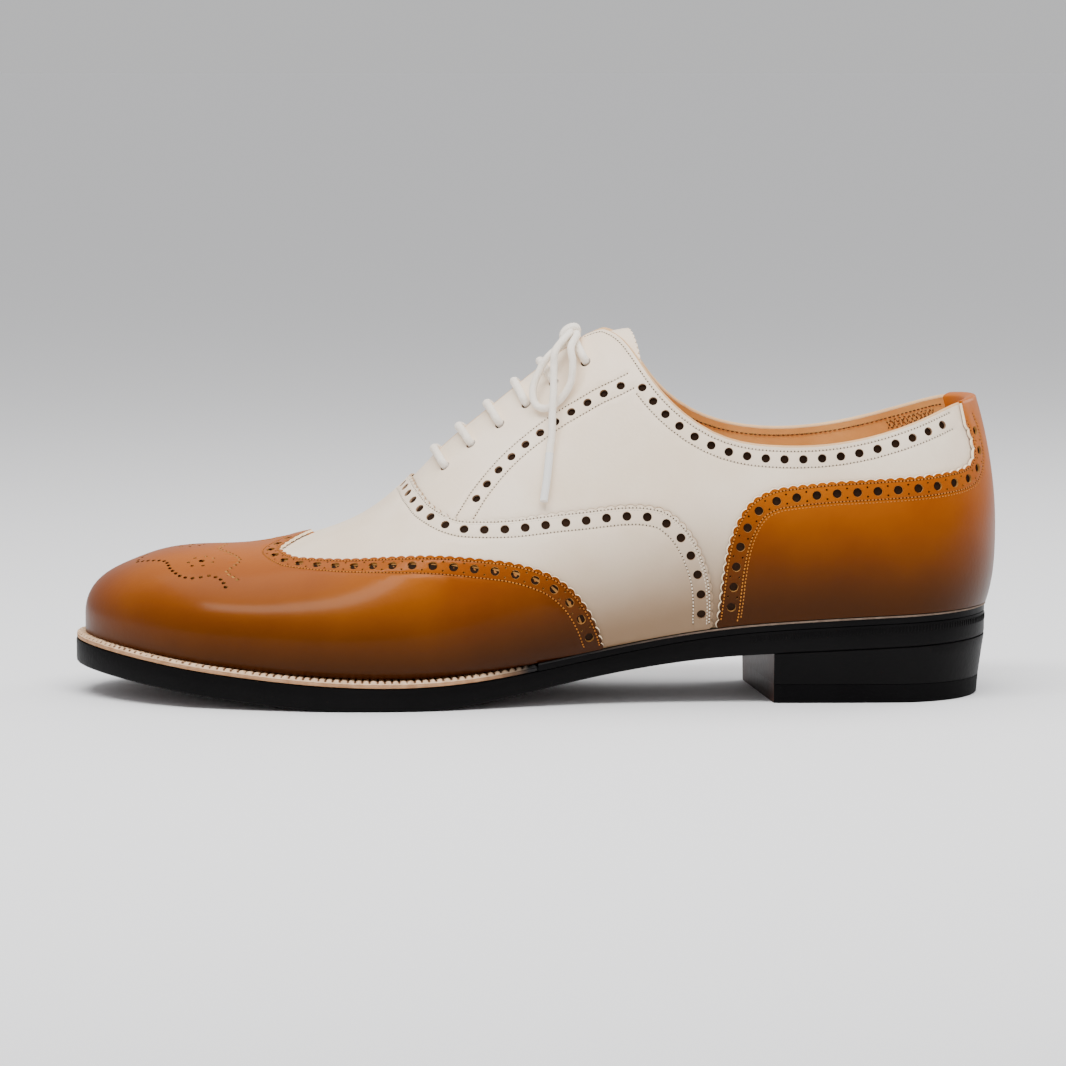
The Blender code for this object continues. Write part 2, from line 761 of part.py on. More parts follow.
def add_welt():
    heights = (FIT_GAP, FIT_GAP + WELT_THICKNESS)
    margins = (inside_margin(WELT_INSET), sole_margin())
    step = FIT_GAP / 2 / RUN
    add_strip("welt", "natural_leather", (WAIST_JOIN + step) * RUN, RUN, margins, heights)
    add_strip("heel_rand", "black_edge", (WAIST_JOIN - step) * RUN, 0.0, margins, heights)


def add_insole():
    low = inside_margin(WELT_INSET + FIT_GAP)
    high = inside_margin(WALL + 2.5 * FIT_GAP)
    ledge = lambda share: sole_top(share) + WELT_THICKNESS + 2 * FIT_GAP
    add_plate("insole", "lining_leather", [
        (low, lambda share: sole_top(share) + FIT_GAP),
        (low, ledge),
        (high, lambda share: ledge(share) + 0.01 * MM),
        (high, lambda share: ledge(share) + INSOLE_THICKNESS - 0.6 * MM),
        (inside_margin(WALL + 2.5 * FIT_GAP + 0.8 * MM), lambda share: ledge(share) + INSOLE_THICKNESS),
    ], 26)


def heel_loop(inset, z):
    """Closed loop round the heel; the straight breast runs forward to the medial side by the skew."""
    loop = []
    shares = [k / 12 for k in range(13)]
    for side in (LATERAL, MEDIAL):
        breast = HEEL_LENGTH + (HEEL_SKEW if side == MEDIAL else 0)
        order = shares if side == LATERAL else shares[::-1]
        for k in order:
            if side == MEDIAL and k == 0:
                continue
            run = k * (HEEL_ARC + breast - HEEL_ROUND)
            share = along(run)[0] / LAST_LENGTH
            x, y, _ = plan_point(side, run, edge_margin(share) * WELT_MARGIN - inset)
            loop.append((x, y, z if isinstance(z, float) else z(-x / LAST_LENGTH)))
    return loop


def add_heel():
    seat = lambda share: sole_bottom(share) - FIT_GAP
    for name, look, layers in (
        ("heel_top_piece", "heel_rubber", [(HEEL_TAPER + 0.5 * MM, 0.0), (HEEL_TAPER, 0.6 * MM), (HEEL_TAPER * 0.8, TOP_PIECE)]),
        ("heel_stack", "black_edge", [(HEEL_TAPER * 0.8, TOP_PIECE + FIT_GAP), (HEEL_TAPER * 0.25, 15 * MM), (0.2 * MM, seat)]),
    ):
        points = []
        loops = []
        for inset, z in layers:
            loop = heel_loop(inset, z)
            loops.append([len(points) + k for k in range(len(loop))])
            points += loop
        count = len(loops[0])
        faces = []
        for low, high in zip(loops, loops[1:]):
            for k in range(count):
                n = (k + 1) % count
                faces.append((low[k], high[k], high[n], low[n]))
        half = count // 2
        for loop, up in ((loops[0], False), (loops[-1], True)):
            for k in range(half + 1):
                face = [loop[k], loop[(k + 1) % count], loop[(count - k - 1) % count], loop[(count - k) % count]]
                face = [place for i, place in enumerate(face) if place not in face[:i]]
                if len(face) > 2:
                    faces.append(tuple(face[::-1]) if up else tuple(face))
                if k + 1 >= count - k - 1:
                    break
        make(name, look, points, faces)


def smooth_path(points, step):
    """Points at even steps along a rounded path through the given points."""
    points = np.asarray(points, float)
    padded = np.vstack([2 * points[0] - points[1], points, 2 * points[-1] - points[-2]])
    t = np.linspace(0, 1, 12, endpoint=False)[:, None]
    found = []
    for p0, p1, p2, p3 in zip(padded, padded[1:], padded[2:], padded[3:]):
        found.append(0.5 * (2 * p1 + (p2 - p0) * t + (2 * p0 - 5 * p1 + 4 * p2 - p3) * t**2
                            + (3 * p1 - p0 - 3 * p2 + p3) * t**3))
    path = np.vstack([*found, points[-1:]])
    reached = np.r_[0, np.cumsum(np.linalg.norm(np.diff(path, axis=0), axis=1))]
    count = max(2, round(reached[-1] / step))
    at = np.linspace(0, reached[-1], count + 1)
    return np.stack([np.interp(at, reached, path[:, i]) for i in range(3)], 1)


def tube(name, look, path, radius):
    """A round cord through the points: a curve with a bevel and filled caps."""
    curve = bpy.data.curves.new(name, "CURVE")
    curve.dimensions = "3D"
    curve.bevel_depth = radius
    curve.bevel_resolution = 2
    curve.use_fill_caps = True
    cord = curve.splines.new("POLY")
    cord.points.add(len(path) - 1)
    for point, (x, y, z) in zip(cord.points, path):
        point.co = (x, y, z, 1)
    return place(bpy.data.objects.new(name, curve), look)


def over_upper(places, heights):
    """Middles of a lace over the upper, at heights in lace radii."""
    return on_last(places, FIT_GAP - UPPER_DEPTH + LACE_RADIUS * np.asarray(heights))


def on_side(side, rows):
    return over_upper([(run, rise if side == LATERAL else 2 - rise) for run, rise, _ in rows],
                      [row[2] for row in rows])


def add_lace():
    for number, (run, rise, crown) in enumerate(BARS, 1):
        turns = np.linspace(-1, 1, 9)
        places = [(crown + (run - crown) * abs(t)**1.5, 1 + (1 - rise) * t) for t in turns]
        tube(f"lace_bar_{number}", "lace_cotton", over_upper(places, np.ones(9)), LACE_RADIUS)
    middle = over_upper([(KNOT_RUN, 1.0)], [2 + KNOT_SIZE[2]])[0] + (0, 0, FIT_GAP)
    ahead = on_last((KNOT_RUN + 0.01, 1.0))[0] - on_last((KNOT_RUN - 0.01, 1.0))[0]
    ahead[1] = 0
    ahead /= np.linalg.norm(ahead)
    over = np.array([ahead[2], 0, -ahead[0]])
    bpy.ops.mesh.primitive_uv_sphere_add(segments=12, ring_count=8, radius=LACE_RADIUS)
    knot = bpy.context.active_object
    knot.name = "bow_knot"
    knot.location = middle
    knot.rotation_euler.y = -math.atan2(ahead[2], ahead[0])
    knot.data.transform(Matrix.Diagonal((*KNOT_SIZE, 1)))
    knot.data.shade_smooth()
    place(knot, "lace_cotton")
    for side, word in ((LATERAL, "lateral"), (MEDIAL, "medial")):
        def leaving(shares):
            return middle + LACE_RADIUS * (ahead * shares[0] + np.array([0, side * shares[1], 0]) + over * shares[2])

        loop = [leaving(LOOP_OUT), *on_side(side, LOOP), leaving(LOOP_BACK)]
        tube(f"bow_loop_{word}", "lace_cotton", smooth_path(loop, 5 * MM), LACE_RADIUS)
        whole = smooth_path([leaving(END_OUT), *on_side(side, END)], 1 * MM)
        split = len(whole) - round(AGLET_LENGTH / MM)
        cord = smooth_path(whole[:split:5], 5 * MM)
        tube(f"lace_end_{word}", "lace_cotton", cord, LACE_RADIUS)
        left = whole[-1] - cord[-1]
        first = cord[-1] + left * FIT_GAP / np.linalg.norm(left)
        tube(f"aglet_{word}", "aglet_plastic", np.linspace(first, whole[-1], 4), AGLET_RADIUS)


clear_scene()
shoe = bpy.data.collections.new("spectator_shoe")
bpy.context.scene.collection.children.link(shoe)
heel_origin = bpy.data.objects.new("heel_origin", None)
heel_origin.location.x = (HEEL_LENGTH + HEEL_TAPER) / 2
shoe.objects.link(heel_origin)
add_outsole()
add_welt()
add_heel()
add_insole()
add_upper()
add_vamp()
add_wing_cap()
add_heel_counter()
add_tongue()
add_lace()
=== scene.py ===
"""Left spectator shoe, dressed: leathers, pinking, brogue holes, stitches, lining, lace and light.

Every surface of the upper is drawn in run (along the foot line, 0 heel back to 1 toe tip) and
rise (up a rib, 0 lateral foot line, 1 ridge, 2 medial foot line) over one last."""

import math

import bpy
import numpy as np
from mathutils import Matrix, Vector
from mathutils.geometry import delaunay_2d_cdt


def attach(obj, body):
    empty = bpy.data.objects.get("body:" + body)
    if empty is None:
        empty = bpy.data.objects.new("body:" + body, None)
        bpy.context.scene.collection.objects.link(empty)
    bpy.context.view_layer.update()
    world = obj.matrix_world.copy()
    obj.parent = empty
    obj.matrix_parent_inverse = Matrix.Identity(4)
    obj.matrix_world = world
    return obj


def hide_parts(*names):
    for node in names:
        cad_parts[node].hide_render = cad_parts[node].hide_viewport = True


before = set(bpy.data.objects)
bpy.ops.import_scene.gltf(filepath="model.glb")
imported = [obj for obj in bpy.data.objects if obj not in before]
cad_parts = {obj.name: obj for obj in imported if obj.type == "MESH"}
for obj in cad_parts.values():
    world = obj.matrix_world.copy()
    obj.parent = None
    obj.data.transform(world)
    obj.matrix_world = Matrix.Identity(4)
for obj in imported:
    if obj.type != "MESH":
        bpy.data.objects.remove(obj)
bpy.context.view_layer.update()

MM = 0.001
LAST_LENGTH = 296 * MM
BALL_WIDTH = 94 * MM
INSTEP_HEIGHT = 100 * MM
BACK_HEIGHT = 67 * MM
HEEL_HEIGHT = 20.2 * MM
TOE_SPRING = 10 * MM
HEEL_ROUND = 31 * MM
TOE_ROUND = 44 * MM
CONE_BACK = 26 * MM
CONE_END = 0.30
FAN = 14 * MM
FAN_START = 0.80
FIT_GAP = 0.3 * MM
WALL = 2.2 * MM
SKIN_GAP = 0.45 * MM
UPPER_DEPTH = 0.4 * MM
VAMP_THICKNESS = 0.7 * MM
OVERLAY_THICKNESS = 0.8 * MM
TONGUE_THICKNESS = 1.6 * MM
SOLE_THICKNESS = 7.2 * MM
WELT_THICKNESS = 2.4 * MM
WELT_MARGIN = 5.0 * MM
WELT_INSET = 6.5 * MM
SEAT_DROP = 0.5 * MM
TOP_PIECE = 6.0 * MM
HEEL_LENGTH = 71 * MM
HEEL_TAPER = 2.4 * MM
HEEL_SKEW = 8 * MM
THROAT_GAP = 3.5 * MM
LACE_RADIUS = 1.25 * MM
AGLET_RADIUS = 1.45 * MM
AGLET_LENGTH = 17 * MM
KNOT_RUN = 0.4570
KNOT_HEIGHT = 2.45
ORIGIN = np.array([(HEEL_LENGTH + HEEL_TAPER) / 2, 0, 0])

PINK_PITCH = 3.2 * MM
PINK_DEPTH = 0.85 * MM
HOLE_RADIUS = 1.5 * MM
HOLE_PITCH = 6.6 * MM
FACING_RADIUS = 1.45 * MM
FACING_PITCH = 6.1 * MM
PIN_RADIUS = 0.36 * MM
PIN_SPREAD = 1.5 * MM
STITCH_PITCH = 1.15 * MM
STITCH_RADIUS = 0.24 * MM
GROOVE = 0.16 * MM
HOLE_CONE = 0.94
FAT_LACE = 1.38 * MM
SCALLOP_POWER = 0.6
EDGE_START = 3 * MM
WELT_END = 0.49
BEAD_PITCH = 2.4 * MM
BEAD_HEIGHT = 0.75 * MM
WHEEL_PITCH = 1.1 * MM
BUMP_HEIGHT = 0.0003
# foot line's height under the dressed shoe, at two distances along it, for the painted shade toward the sole
FOOT_SLOPE = {"From Min": -0.135, "From Max": -0.060, "To Min": 0.010, "To Max": 0.029}
CAMERA_DISTANCE = 1.5
CAMERA_TILT = math.radians(6)
CAMERA_AIM = (-149.4 * MM, 0, 52.3 * MM)
PICTURE_WIDTH = 1066 / 3.016 * MM

# share of last length from the heel back; lateral and medial half widths in ball widths;
# lift in heel heights; spring in toe springs
FOOT_LINE = [
    (0.00, 0.350, 0.330, 1.000, 0.00),
    (0.08, 0.356, 0.330, 0.955, 0.00),
    (0.15, 0.362, 0.319, 0.905, 0.00),
    (0.22, 0.365, 0.298, 0.845, 0.00),
    (0.30, 0.367, 0.255, 0.740, 0.00),
    (0.38, 0.376, 0.229, 0.555, 0.00),
    (0.46, 0.404, 0.250, 0.330, 0.00),
    (0.54, 0.455, 0.330, 0.125, 0.00),
    (0.62, 0.508, 0.420, 0.020, 0.00),
    (0.69, 0.525, 0.468, 0.000, 0.03),
    (0.76, 0.510, 0.479, 0.000, 0.14),
    (0.83, 0.468, 0.463, 0.000, 0.33),
    (0.90, 0.410, 0.420, 0.000, 0.58),
    (1.00, 0.320, 0.340, 0.000, 1.00),
]
# share of last length; lateral and medial overhang and belly height in ball widths
BELLY = [
    (0.00, 0.030, 0.030, 0.266),
    (0.10, 0.022, 0.022, 0.255),
    (0.22, 0.022, 0.043, 0.245),
    (0.36, 0.048, 0.085, 0.245),
    (0.50, 0.052, 0.080, 0.202),
    (0.66, 0.036, 0.042, 0.138),
    (0.80, 0.020, 0.022, 0.117),
    (0.92, 0.008, 0.010, 0.085),
    (1.00, 0.000, 0.000, 0.060),
]
# share of last length; height above the foot line in instep heights; offset to the medial side
# in ball widths; side fullness; top fullness
RIDGE = [
    (0.030, 0.960, 0.000, 0.39, 0.60),
    (0.120, 0.975, 0.000, 0.46, 0.62),
    (0.220, 0.990, -0.010, 0.54, 0.62),
    (0.320, 1.015, -0.010, 0.45, 0.60),
    (0.390, 1.028, -0.010, 0.38, 0.52),
    (0.430, 1.030, -0.010, 0.35, 0.46),
    (0.455, 1.001, -0.010, 0.34, 0.43),
    (0.500, 0.930, -0.005, 0.34, 0.42),
    (0.560, 0.812, 0.005, 0.35, 0.42),
    (0.610, 0.698, 0.016, 0.37, 0.43),
    (0.656, 0.563, 0.027, 0.40, 0.46),
    (0.698, 0.470, 0.034, 0.43, 0.50),
    (0.743, 0.409, 0.037, 0.46, 0.53),
    (0.788, 0.362, 0.037, 0.49, 0.55),
    (0.833, 0.330, 0.034, 0.51, 0.56),
    (0.878, 0.311, 0.027, 0.53, 0.56),
    (0.922, 0.277, 0.016, 0.55, 0.56),
    (0.953, 0.232, 0.008, 0.56, 0.56),
]
# share of last length; lateral and medial collar height above the foot line in back heights
COLLAR = [
    (0.000, 1.005, 1.005),
    (0.030, 0.985, 0.995),
    (0.060, 0.945, 0.965),
    (0.120, 0.872, 0.905),
    (0.180, 0.838, 0.868),
    (0.240, 0.850, 0.874),
    (0.290, 0.905, 0.930),
    (0.340, 1.055, 1.065),
    (0.380, 1.275, 1.275),
    (0.405, 1.448, 1.448),
    (0.418, 1.500, 1.500),
    (0.430, 1.525, 1.525),
    (0.450, 1.540, 1.540),
]
# share of last length; margin past the foot line in welt margins; thickness in sole thicknesses
SOLE_EDGE = [
    (0.00, 0.06, 1.00),
    (0.24, 0.14, 0.96),
    (0.40, 0.20, 0.76),
    (0.50, 0.48, 0.78),
    (0.60, 0.88, 0.97),
    (0.80, 0.96, 1.00),
    (1.00, 1.00, 1.00),
]
# share of the run, share of the rise: front edge of the pinked wing, from the ridge to the foot line
WING_EDGE = [
    (0.7074, 1.000), (0.7206, 0.916), (0.7354, 0.777), (0.7325, 0.706), (0.7239, 0.640),
    (0.7130, 0.602), (0.6806, 0.546), (0.6347, 0.487), (0.5889, 0.423), (0.5442, 0.366),
    (0.5207, 0.335), (0.4979, 0.297), (0.4749, 0.249), (0.4560, 0.191), (0.4417, 0.125),
    (0.4312, 0.054), (0.4270, 0.000),
]
# top edge of the vamp, from the ridge below the throat to the foot line
VAMP_EDGE = [
    (0.6130, 1.000), (0.6095, 0.900), (0.6060, 0.815), (0.6008, 0.742), (0.5929, 0.659),
    (0.5815, 0.592), (0.5703, 0.548), (0.5553, 0.516), (0.5156, 0.467), (0.4697, 0.430),
    (0.4329, 0.402), (0.3955, 0.386), (0.3766, 0.370), (0.3650, 0.353), (0.3525, 0.319),
    (0.3428, 0.282), (0.3336, 0.230), (0.3250, 0.154), (0.3220, 0.080), (0.3225, 0.000),
]
# edge of the counter and its back strip, from the foot line to the collar
COUNTER_EDGE = [
    (0.3180, 0.000), (0.3145, 0.086), (0.3115, 0.164), (0.3062, 0.241), (0.2971, 0.305),
    (0.2847, 0.351), (0.2659, 0.378), (0.2448, 0.387), (0.2072, 0.394), (0.1658, 0.396),
    (0.1247, 0.399), (0.0914, 0.412), (0.0695, 0.430), (0.0590, 0.464), (0.0583, 0.511),
    (0.0640, 0.563),
]
# lace bars: run and rise of the lateral eyelet, and the bar's run on the ridge
BARS = [
    (0.5798, 0.810, 0.5880),
    (0.5549, 0.834, 0.5640),
    (0.5269, 0.836, 0.5365),
    (0.5013, 0.845, 0.5100),
    (0.4746, 0.861, 0.4848),
    (0.4436, 0.863, 0.4530),
]
# bow, lateral side, after it leaves the knot: run, rise, and height of the cord's middle over the
# upper in lace radii
LOOP = [
    (0.4700, 0.905, 4.5), (0.4811, 0.880, 3.9), (0.4900, 0.842, 2.8), (0.4900, 0.795, 1.6),
    (0.4800, 0.764, 1.2), (0.4670, 0.768, 1.2), (0.4560, 0.795, 2.0), (0.4505, 0.840, 3.8),
    (0.4500, 0.885, 4.6),
]
END = [
    (0.4605, 0.880, 7.2), (0.4650, 0.842, 6.2), (0.4690, 0.785, 4.6), (0.4716, 0.745, 3.8),
    (0.4756, 0.660, 1.9), (0.4777, 0.631, 1.5), (0.4809, 0.555, 1.3), (0.4850, 0.478, 1.3),
]

LATERAL = -1
MEDIAL = 1


def spline(rows, column):
    """Natural cubic spline through one column of a table, over its first column."""
    x = np.array([row[0] for row in rows], float)
    y = np.array([row[column] for row in rows], float)
    h = np.diff(x)
    count = len(x)
    left = np.eye(count)
    right = np.zeros(count)
    for i in range(1, count - 1):
        left[i, i - 1:i + 2] = h[i - 1], 2 * (h[i - 1] + h[i]), h[i]
        right[i] = 6 * ((y[i + 1] - y[i]) / h[i] - (y[i] - y[i - 1]) / h[i - 1])
    bend = np.linalg.solve(left, right)

    def value(at):
        at = np.asarray(at, float)
        i = np.clip(np.searchsorted(x, at) - 1, 0, count - 2)
        a = (x[i + 1] - at) / h[i]
        b = 1 - a
        curve = (a**3 - a) * bend[i] + (b**3 - b) * bend[i + 1]
        return a * y[i] + b * y[i + 1] + curve * h[i]**2 / 6

    return value


half_width = {LATERAL: spline(FOOT_LINE, 1), MEDIAL: spline(FOOT_LINE, 2)}
heel_lift = spline(FOOT_LINE, 3)
toe_lift = spline(FOOT_LINE, 4)
overhang = {LATERAL: spline(BELLY, 1), MEDIAL: spline(BELLY, 2)}
belly_height = spline(BELLY, 3)
ridge_height = spline(RIDGE, 1)
ridge_offset = spline(RIDGE, 2)
side_fullness = spline(RIDGE, 3)
top_fullness = spline(RIDGE, 4)
collar_height = {LATERAL: spline(COLLAR, 1), MEDIAL: spline(COLLAR, 2)}
edge_margin = spline(SOLE_EDGE, 1)
edge_thickness = spline(SOLE_EDGE, 2)

HEEL_ARC = HEEL_ROUND * math.pi / 2
TOE_ARC = TOE_ROUND * math.pi / 2
RUN = HEEL_ARC + LAST_LENGTH - HEEL_ROUND - TOE_ROUND + TOE_ARC


def tread_z(share):
    """Height of the sole line's lift over the ground, from heel height and toe spring."""
    return heel_lift(share) * HEEL_HEIGHT + toe_lift(share) * TOE_SPRING


def foot_z(share):
    return SOLE_THICKNESS + WELT_THICKNESS + 2 * FIT_GAP + tread_z(share)


def ridge_z(share):
    return foot_z(share) + ridge_height(share) * INSTEP_HEIGHT


def unit(vectors):
    """Vectors at length one."""
    return vectors / np.linalg.norm(vectors, axis=-1, keepdims=True)


def along(run):
    """Distance from the heel back, and the rounding of the width there."""
    if run < HEEL_ARC:
        return HEEL_ROUND * (1 - math.cos(run / HEEL_ROUND)), math.sin(run / HEEL_ROUND)
    if run < RUN - TOE_ARC:
        return HEEL_ROUND + run - HEEL_ARC, 1.0
    turn = max((RUN - run) / TOE_ROUND, 0)
    return LAST_LENGTH - TOE_ROUND * (1 - math.cos(turn)), math.sin(turn)


def foot_point(side, run):
    a, rounding = along(run)
    share = a / LAST_LENGTH
    return np.array([-a, side * half_width[side](share) * BALL_WIDTH * rounding, foot_z(share)])


def outward(side, run):
    """Level direction out of the shoe at the foot line."""
    step = 0.5 * MM
    if run < step:
        return np.array([1.0, 0, 0])
    if run > RUN - step:
        return np.array([-1.0, 0, 0])
    d = foot_point(side, run + step) - foot_point(side, run - step)
    return unit(np.array([d[1], -d[0], 0]) * side)


def ridge_along(a):
    """Where the rib from a station meets the ridge: the ribs fan in at toe and heel."""
    share = a / LAST_LENGTH
    if share > FAN_START:
        return a - FAN * ((share - FAN_START) / (1 - FAN_START))**2
    if share < CONE_END:
        return a + CONE_BACK * (1 - share / CONE_END)**2
    return a


def distances(points):
    """Distance along a line of points, at each of them."""
    return np.r_[0, np.cumsum(np.linalg.norm(np.diff(points, axis=0), axis=1))]


def read_at(at, reached, rows):
    """Rows along a line, read at other distances."""
    return np.stack([np.interp(at, reached, column) for column in rows.T], 1)


def rib(side, run, count):
    """Points at equal steps up one rib, from the foot line to the ridge."""
    a = along(run)[0]
    share = a / LAST_LENGTH
    foot = foot_point(side, run)
    out = outward(side, run)
    up = np.array([0, 0, 1.0])
    rise = belly_height(share) * BALL_WIDTH
    over = overhang[side](share) * BALL_WIDTH
    belly = foot + out * over + up * rise
    top_share = ridge_along(a) / LAST_LENGTH
    top = np.array([-top_share * LAST_LENGTH, ridge_offset(top_share) * BALL_WIDTH, ridge_z(top_share)])
    flat = (belly - top) * (1, 1, 0)
    reach = np.linalg.norm(flat)
    flat /= reach
    step = 0.004
    slope = (ridge_z(top_share + step) - ridge_z(top_share - step)) / (2 * step * LAST_LENGTH)
    over_top = unit(flat - up * slope * flat[0] * (share > 0.5))
    lower = (foot, foot + out * over * 0.8 + up * rise * 0.3, belly - up * rise * 0.5, belly)
    shoulder = belly + up * (top[2] - belly[2]) * side_fullness(share)
    upper = (belly, shoulder, top + over_top * reach * top_fullness(top_share), top)
    t = np.linspace(0, 1, 31)[:, None]
    halves = [
        (1 - t)**3 * p[0] + 3 * (1 - t)**2 * t * p[1] + 3 * (1 - t) * t**2 * p[2] + t**3 * p[3]
        for p in (lower, upper)
    ]
    points = np.vstack([halves[0], halves[1][1:]])
    reached = distances(points)
    return read_at(np.linspace(0, reached[-1], count), reached, points)


RUNS = 321
RISES = 101


def last_lattice():
    """Points and normals of the last over run (rows) and rise 0 to 2 (columns)."""
    runs = np.linspace(0, RUN, RUNS)
    near = np.array([rib(LATERAL, run, RISES) for run in runs])
    far = np.array([rib(MEDIAL, run, RISES) for run in runs])
    points = np.concatenate([near, far[:, -2::-1]], axis=1) + ORIGIN
    padded = np.concatenate([points[1:2, ::-1], points, points[-2:-1, ::-1]])
    normals = np.cross(np.gradient(points, axis=1), padded[2:] - padded[:-2])
    middle = RISES - 1
    for end in (0, -1):
        normals[end, middle] = normals[end, middle - 1] + normals[end, middle + 1]
    normals = unit(normals)
    rise = np.abs(np.linspace(0, 2, 2 * RISES - 1) - 1)
    level = np.clip((1 - rise) / 0.05, 0, 1)
    normals[:, :, 2] *= level * level * (3 - 2 * level)
    normals = unit(normals)
    return points, normals


def padded_all_round(grid):
    grid = np.concatenate([grid[1:2, ::-1], grid, grid[-2:-1, ::-1]])
    return np.concatenate([2 * grid[:, :1] - grid[:, 1:2], grid, 2 * grid[:, -1:] - grid[:, -2:-1]], axis=1)


POINTS, NORMALS = (padded_all_round(grid) for grid in last_lattice())


def weights(t):
    return [
        (-t + 2 * t**2 - t**3) / 2, (2 - 5 * t**2 + 3 * t**3) / 2,
        (t + 4 * t**2 - 3 * t**3) / 2, (t**3 - t**2) / 2,
    ]


def sampled(grid, where):
    i = np.clip(where[:, 0], 0, 1) * (RUNS - 1)
    j = np.clip(where[:, 1], 0, 2) * (RISES - 1)
    i0 = np.minimum(i.astype(int), RUNS - 2)
    j0 = np.minimum(j.astype(int), 2 * RISES - 3)
    found = 0
    for a, wi in enumerate(weights(i - i0)):
        for b, wj in enumerate(weights(j - j0)):
            found = found + grid[i0 + a, j0 + b] * (wi * wj)[:, None]
    return found


def on_last(where, height=0.0):
    """Points over the last at (run, rise) places, lifted along the normals."""
    where = np.atleast_2d(np.asarray(where, float))
    return sampled(POINTS, where) + normal_at(where) * np.reshape(height, (-1, 1))


def normal_at(where):
    return unit(sampled(NORMALS, np.atleast_2d(np.asarray(where, float))))


def moved(where, vectors):
    """Places moved over the surface by vectors in space that lie along it."""
    where = np.atleast_2d(np.asarray(where, float))
    step = 1e-3
    low = np.clip(where - step, (0, 0), (1, 2))
    high = np.clip(where + step, (0, 0), (1, 2))
    slopes = []
    for axis in (0, 1):
        a, b = where.copy(), where.copy()
        a[:, axis] = low[:, axis]
        b[:, axis] = high[:, axis]
        slopes.append((on_last(b) - on_last(a)) / (high[:, axis] - low[:, axis])[:, None])
    du, dv = slopes
    e, f, g = (du * du).sum(1), (du * dv).sum(1), (dv * dv).sum(1)
    p, q = (du * vectors).sum(1), (dv * vectors).sum(1)
    det = e * g - f * f
    det = np.where(np.abs(det) < 1e-12, 1e-12, det)
    return where + np.stack([(p * g - q * f) / det, (e * q - f * p) / det], 1)


def rounded(points, count):
    """A smooth curve through the points, with count places from each to the next."""
    points = np.asarray(points, float)
    padded = np.vstack([2 * points[0] - points[1], points, 2 * points[-1] - points[-2]])
    t = np.linspace(0, 1, count, endpoint=False)[:, None]
    found = []
    for p0, p1, p2, p3 in zip(padded, padded[1:], padded[2:], padded[3:]):
        found.append(0.5 * (2 * p1 + (p2 - p0) * t + (2 * p0 - 5 * p1 + 4 * p2 - p3) * t**2
                            + (3 * p1 - p0 - 3 * p2 + p3) * t**3))
    return np.vstack([*found, points[-1:]])


def smooth_line(rows, count=16):
    """A rounded path through a table's places."""
    return rounded([row[:2] for row in rows], count)


def on_side_of(side, rise):
    """A lateral rise, or the same height on the medial side."""
    return rise if side == LATERAL else 2 - rise


def even(path, step):
    """The path again at equal steps over the surface, with its ends kept."""
    path = np.asarray(path, float)
    reached = distances(on_last(path))
    count = max(1, round(reached[-1] / step))
    return read_at(np.linspace(0, reached[-1], count + 1), reached, path)


def sideways(path):
    """Unit vectors along the surface, across the path, to its left seen from outside."""
    points = on_last(path)
    ahead = np.gradient(points, axis=0)
    ahead /= np.maximum(np.linalg.norm(ahead, axis=1), 1e-9)[:, None]
    return np.cross(normal_at(path), ahead)


def beside(path, distance):
    """The path moved across itself by a distance to its left (or right where negative)."""
    return moved(path, sideways(path) * np.reshape(distance, (-1, 1)))


def pinked(path, side, pitch=PINK_PITCH, depth=PINK_DEPTH, inset=0.0):
    """A pinked edge: rounded scallops that stand out to one side of the path."""
    path = even(path, pitch / 10)
    reached = distances(on_last(path))
    teeth = max(1, round(reached[-1] / pitch))
    bump = np.abs(np.sin(math.pi * (reached / reached[-1] * teeth)))**SCALLOP_POWER
    return beside(path, side * (depth * (bump - 0.55) - inset))


def circle(centre, radius, corners):
    """A round hole's rim on the last, about a place."""
    centre = np.asarray(centre, float)
    normal = normal_at(centre)[0]
    across = unit(np.cross(normal, (0.3, 0.1, 1.0)))
    other = np.cross(normal, across)
    turns = np.arange(corners) * 2 * math.pi / corners
    vectors = radius * (np.cos(turns)[:, None] * across + np.sin(turns)[:, None] * other)
    return moved(np.repeat(centre[None], corners, 0), vectors)


def mirrored(path):
    """The same path on the other side of the shoe."""
    path = np.asarray(path, float)
    return np.stack([path[:, 0], 2 - path[:, 1]], 1)


def inside(loop, places):
    """Which places lie inside a closed loop."""
    x, y = places[:, :1], places[:, 1:]
    a, b = loop, np.roll(loop, -1, axis=0)
    crosses = (a[:, 1] > y) != (b[:, 1] > y)
    with np.errstate(divide="ignore", invalid="ignore"):
        at = a[:, 0] + (y - a[:, 1]) * (b[:, 0] - a[:, 0]) / (b[:, 1] - a[:, 1])
    return (crosses & (x < at)).sum(1) % 2 == 1


def nearest(places, corners):
    """Each place's distance to the nearest of the corners."""
    found = np.full(len(places), 1e9)
    for start in range(0, len(corners), 400):
        block = corners[start:start + 400]
        gap = np.sqrt(((places[:, None] - block[None])**2).sum(2)).min(1)
        found = np.minimum(found, gap)
    return found


FLAT = np.array([RUN, 0.1])


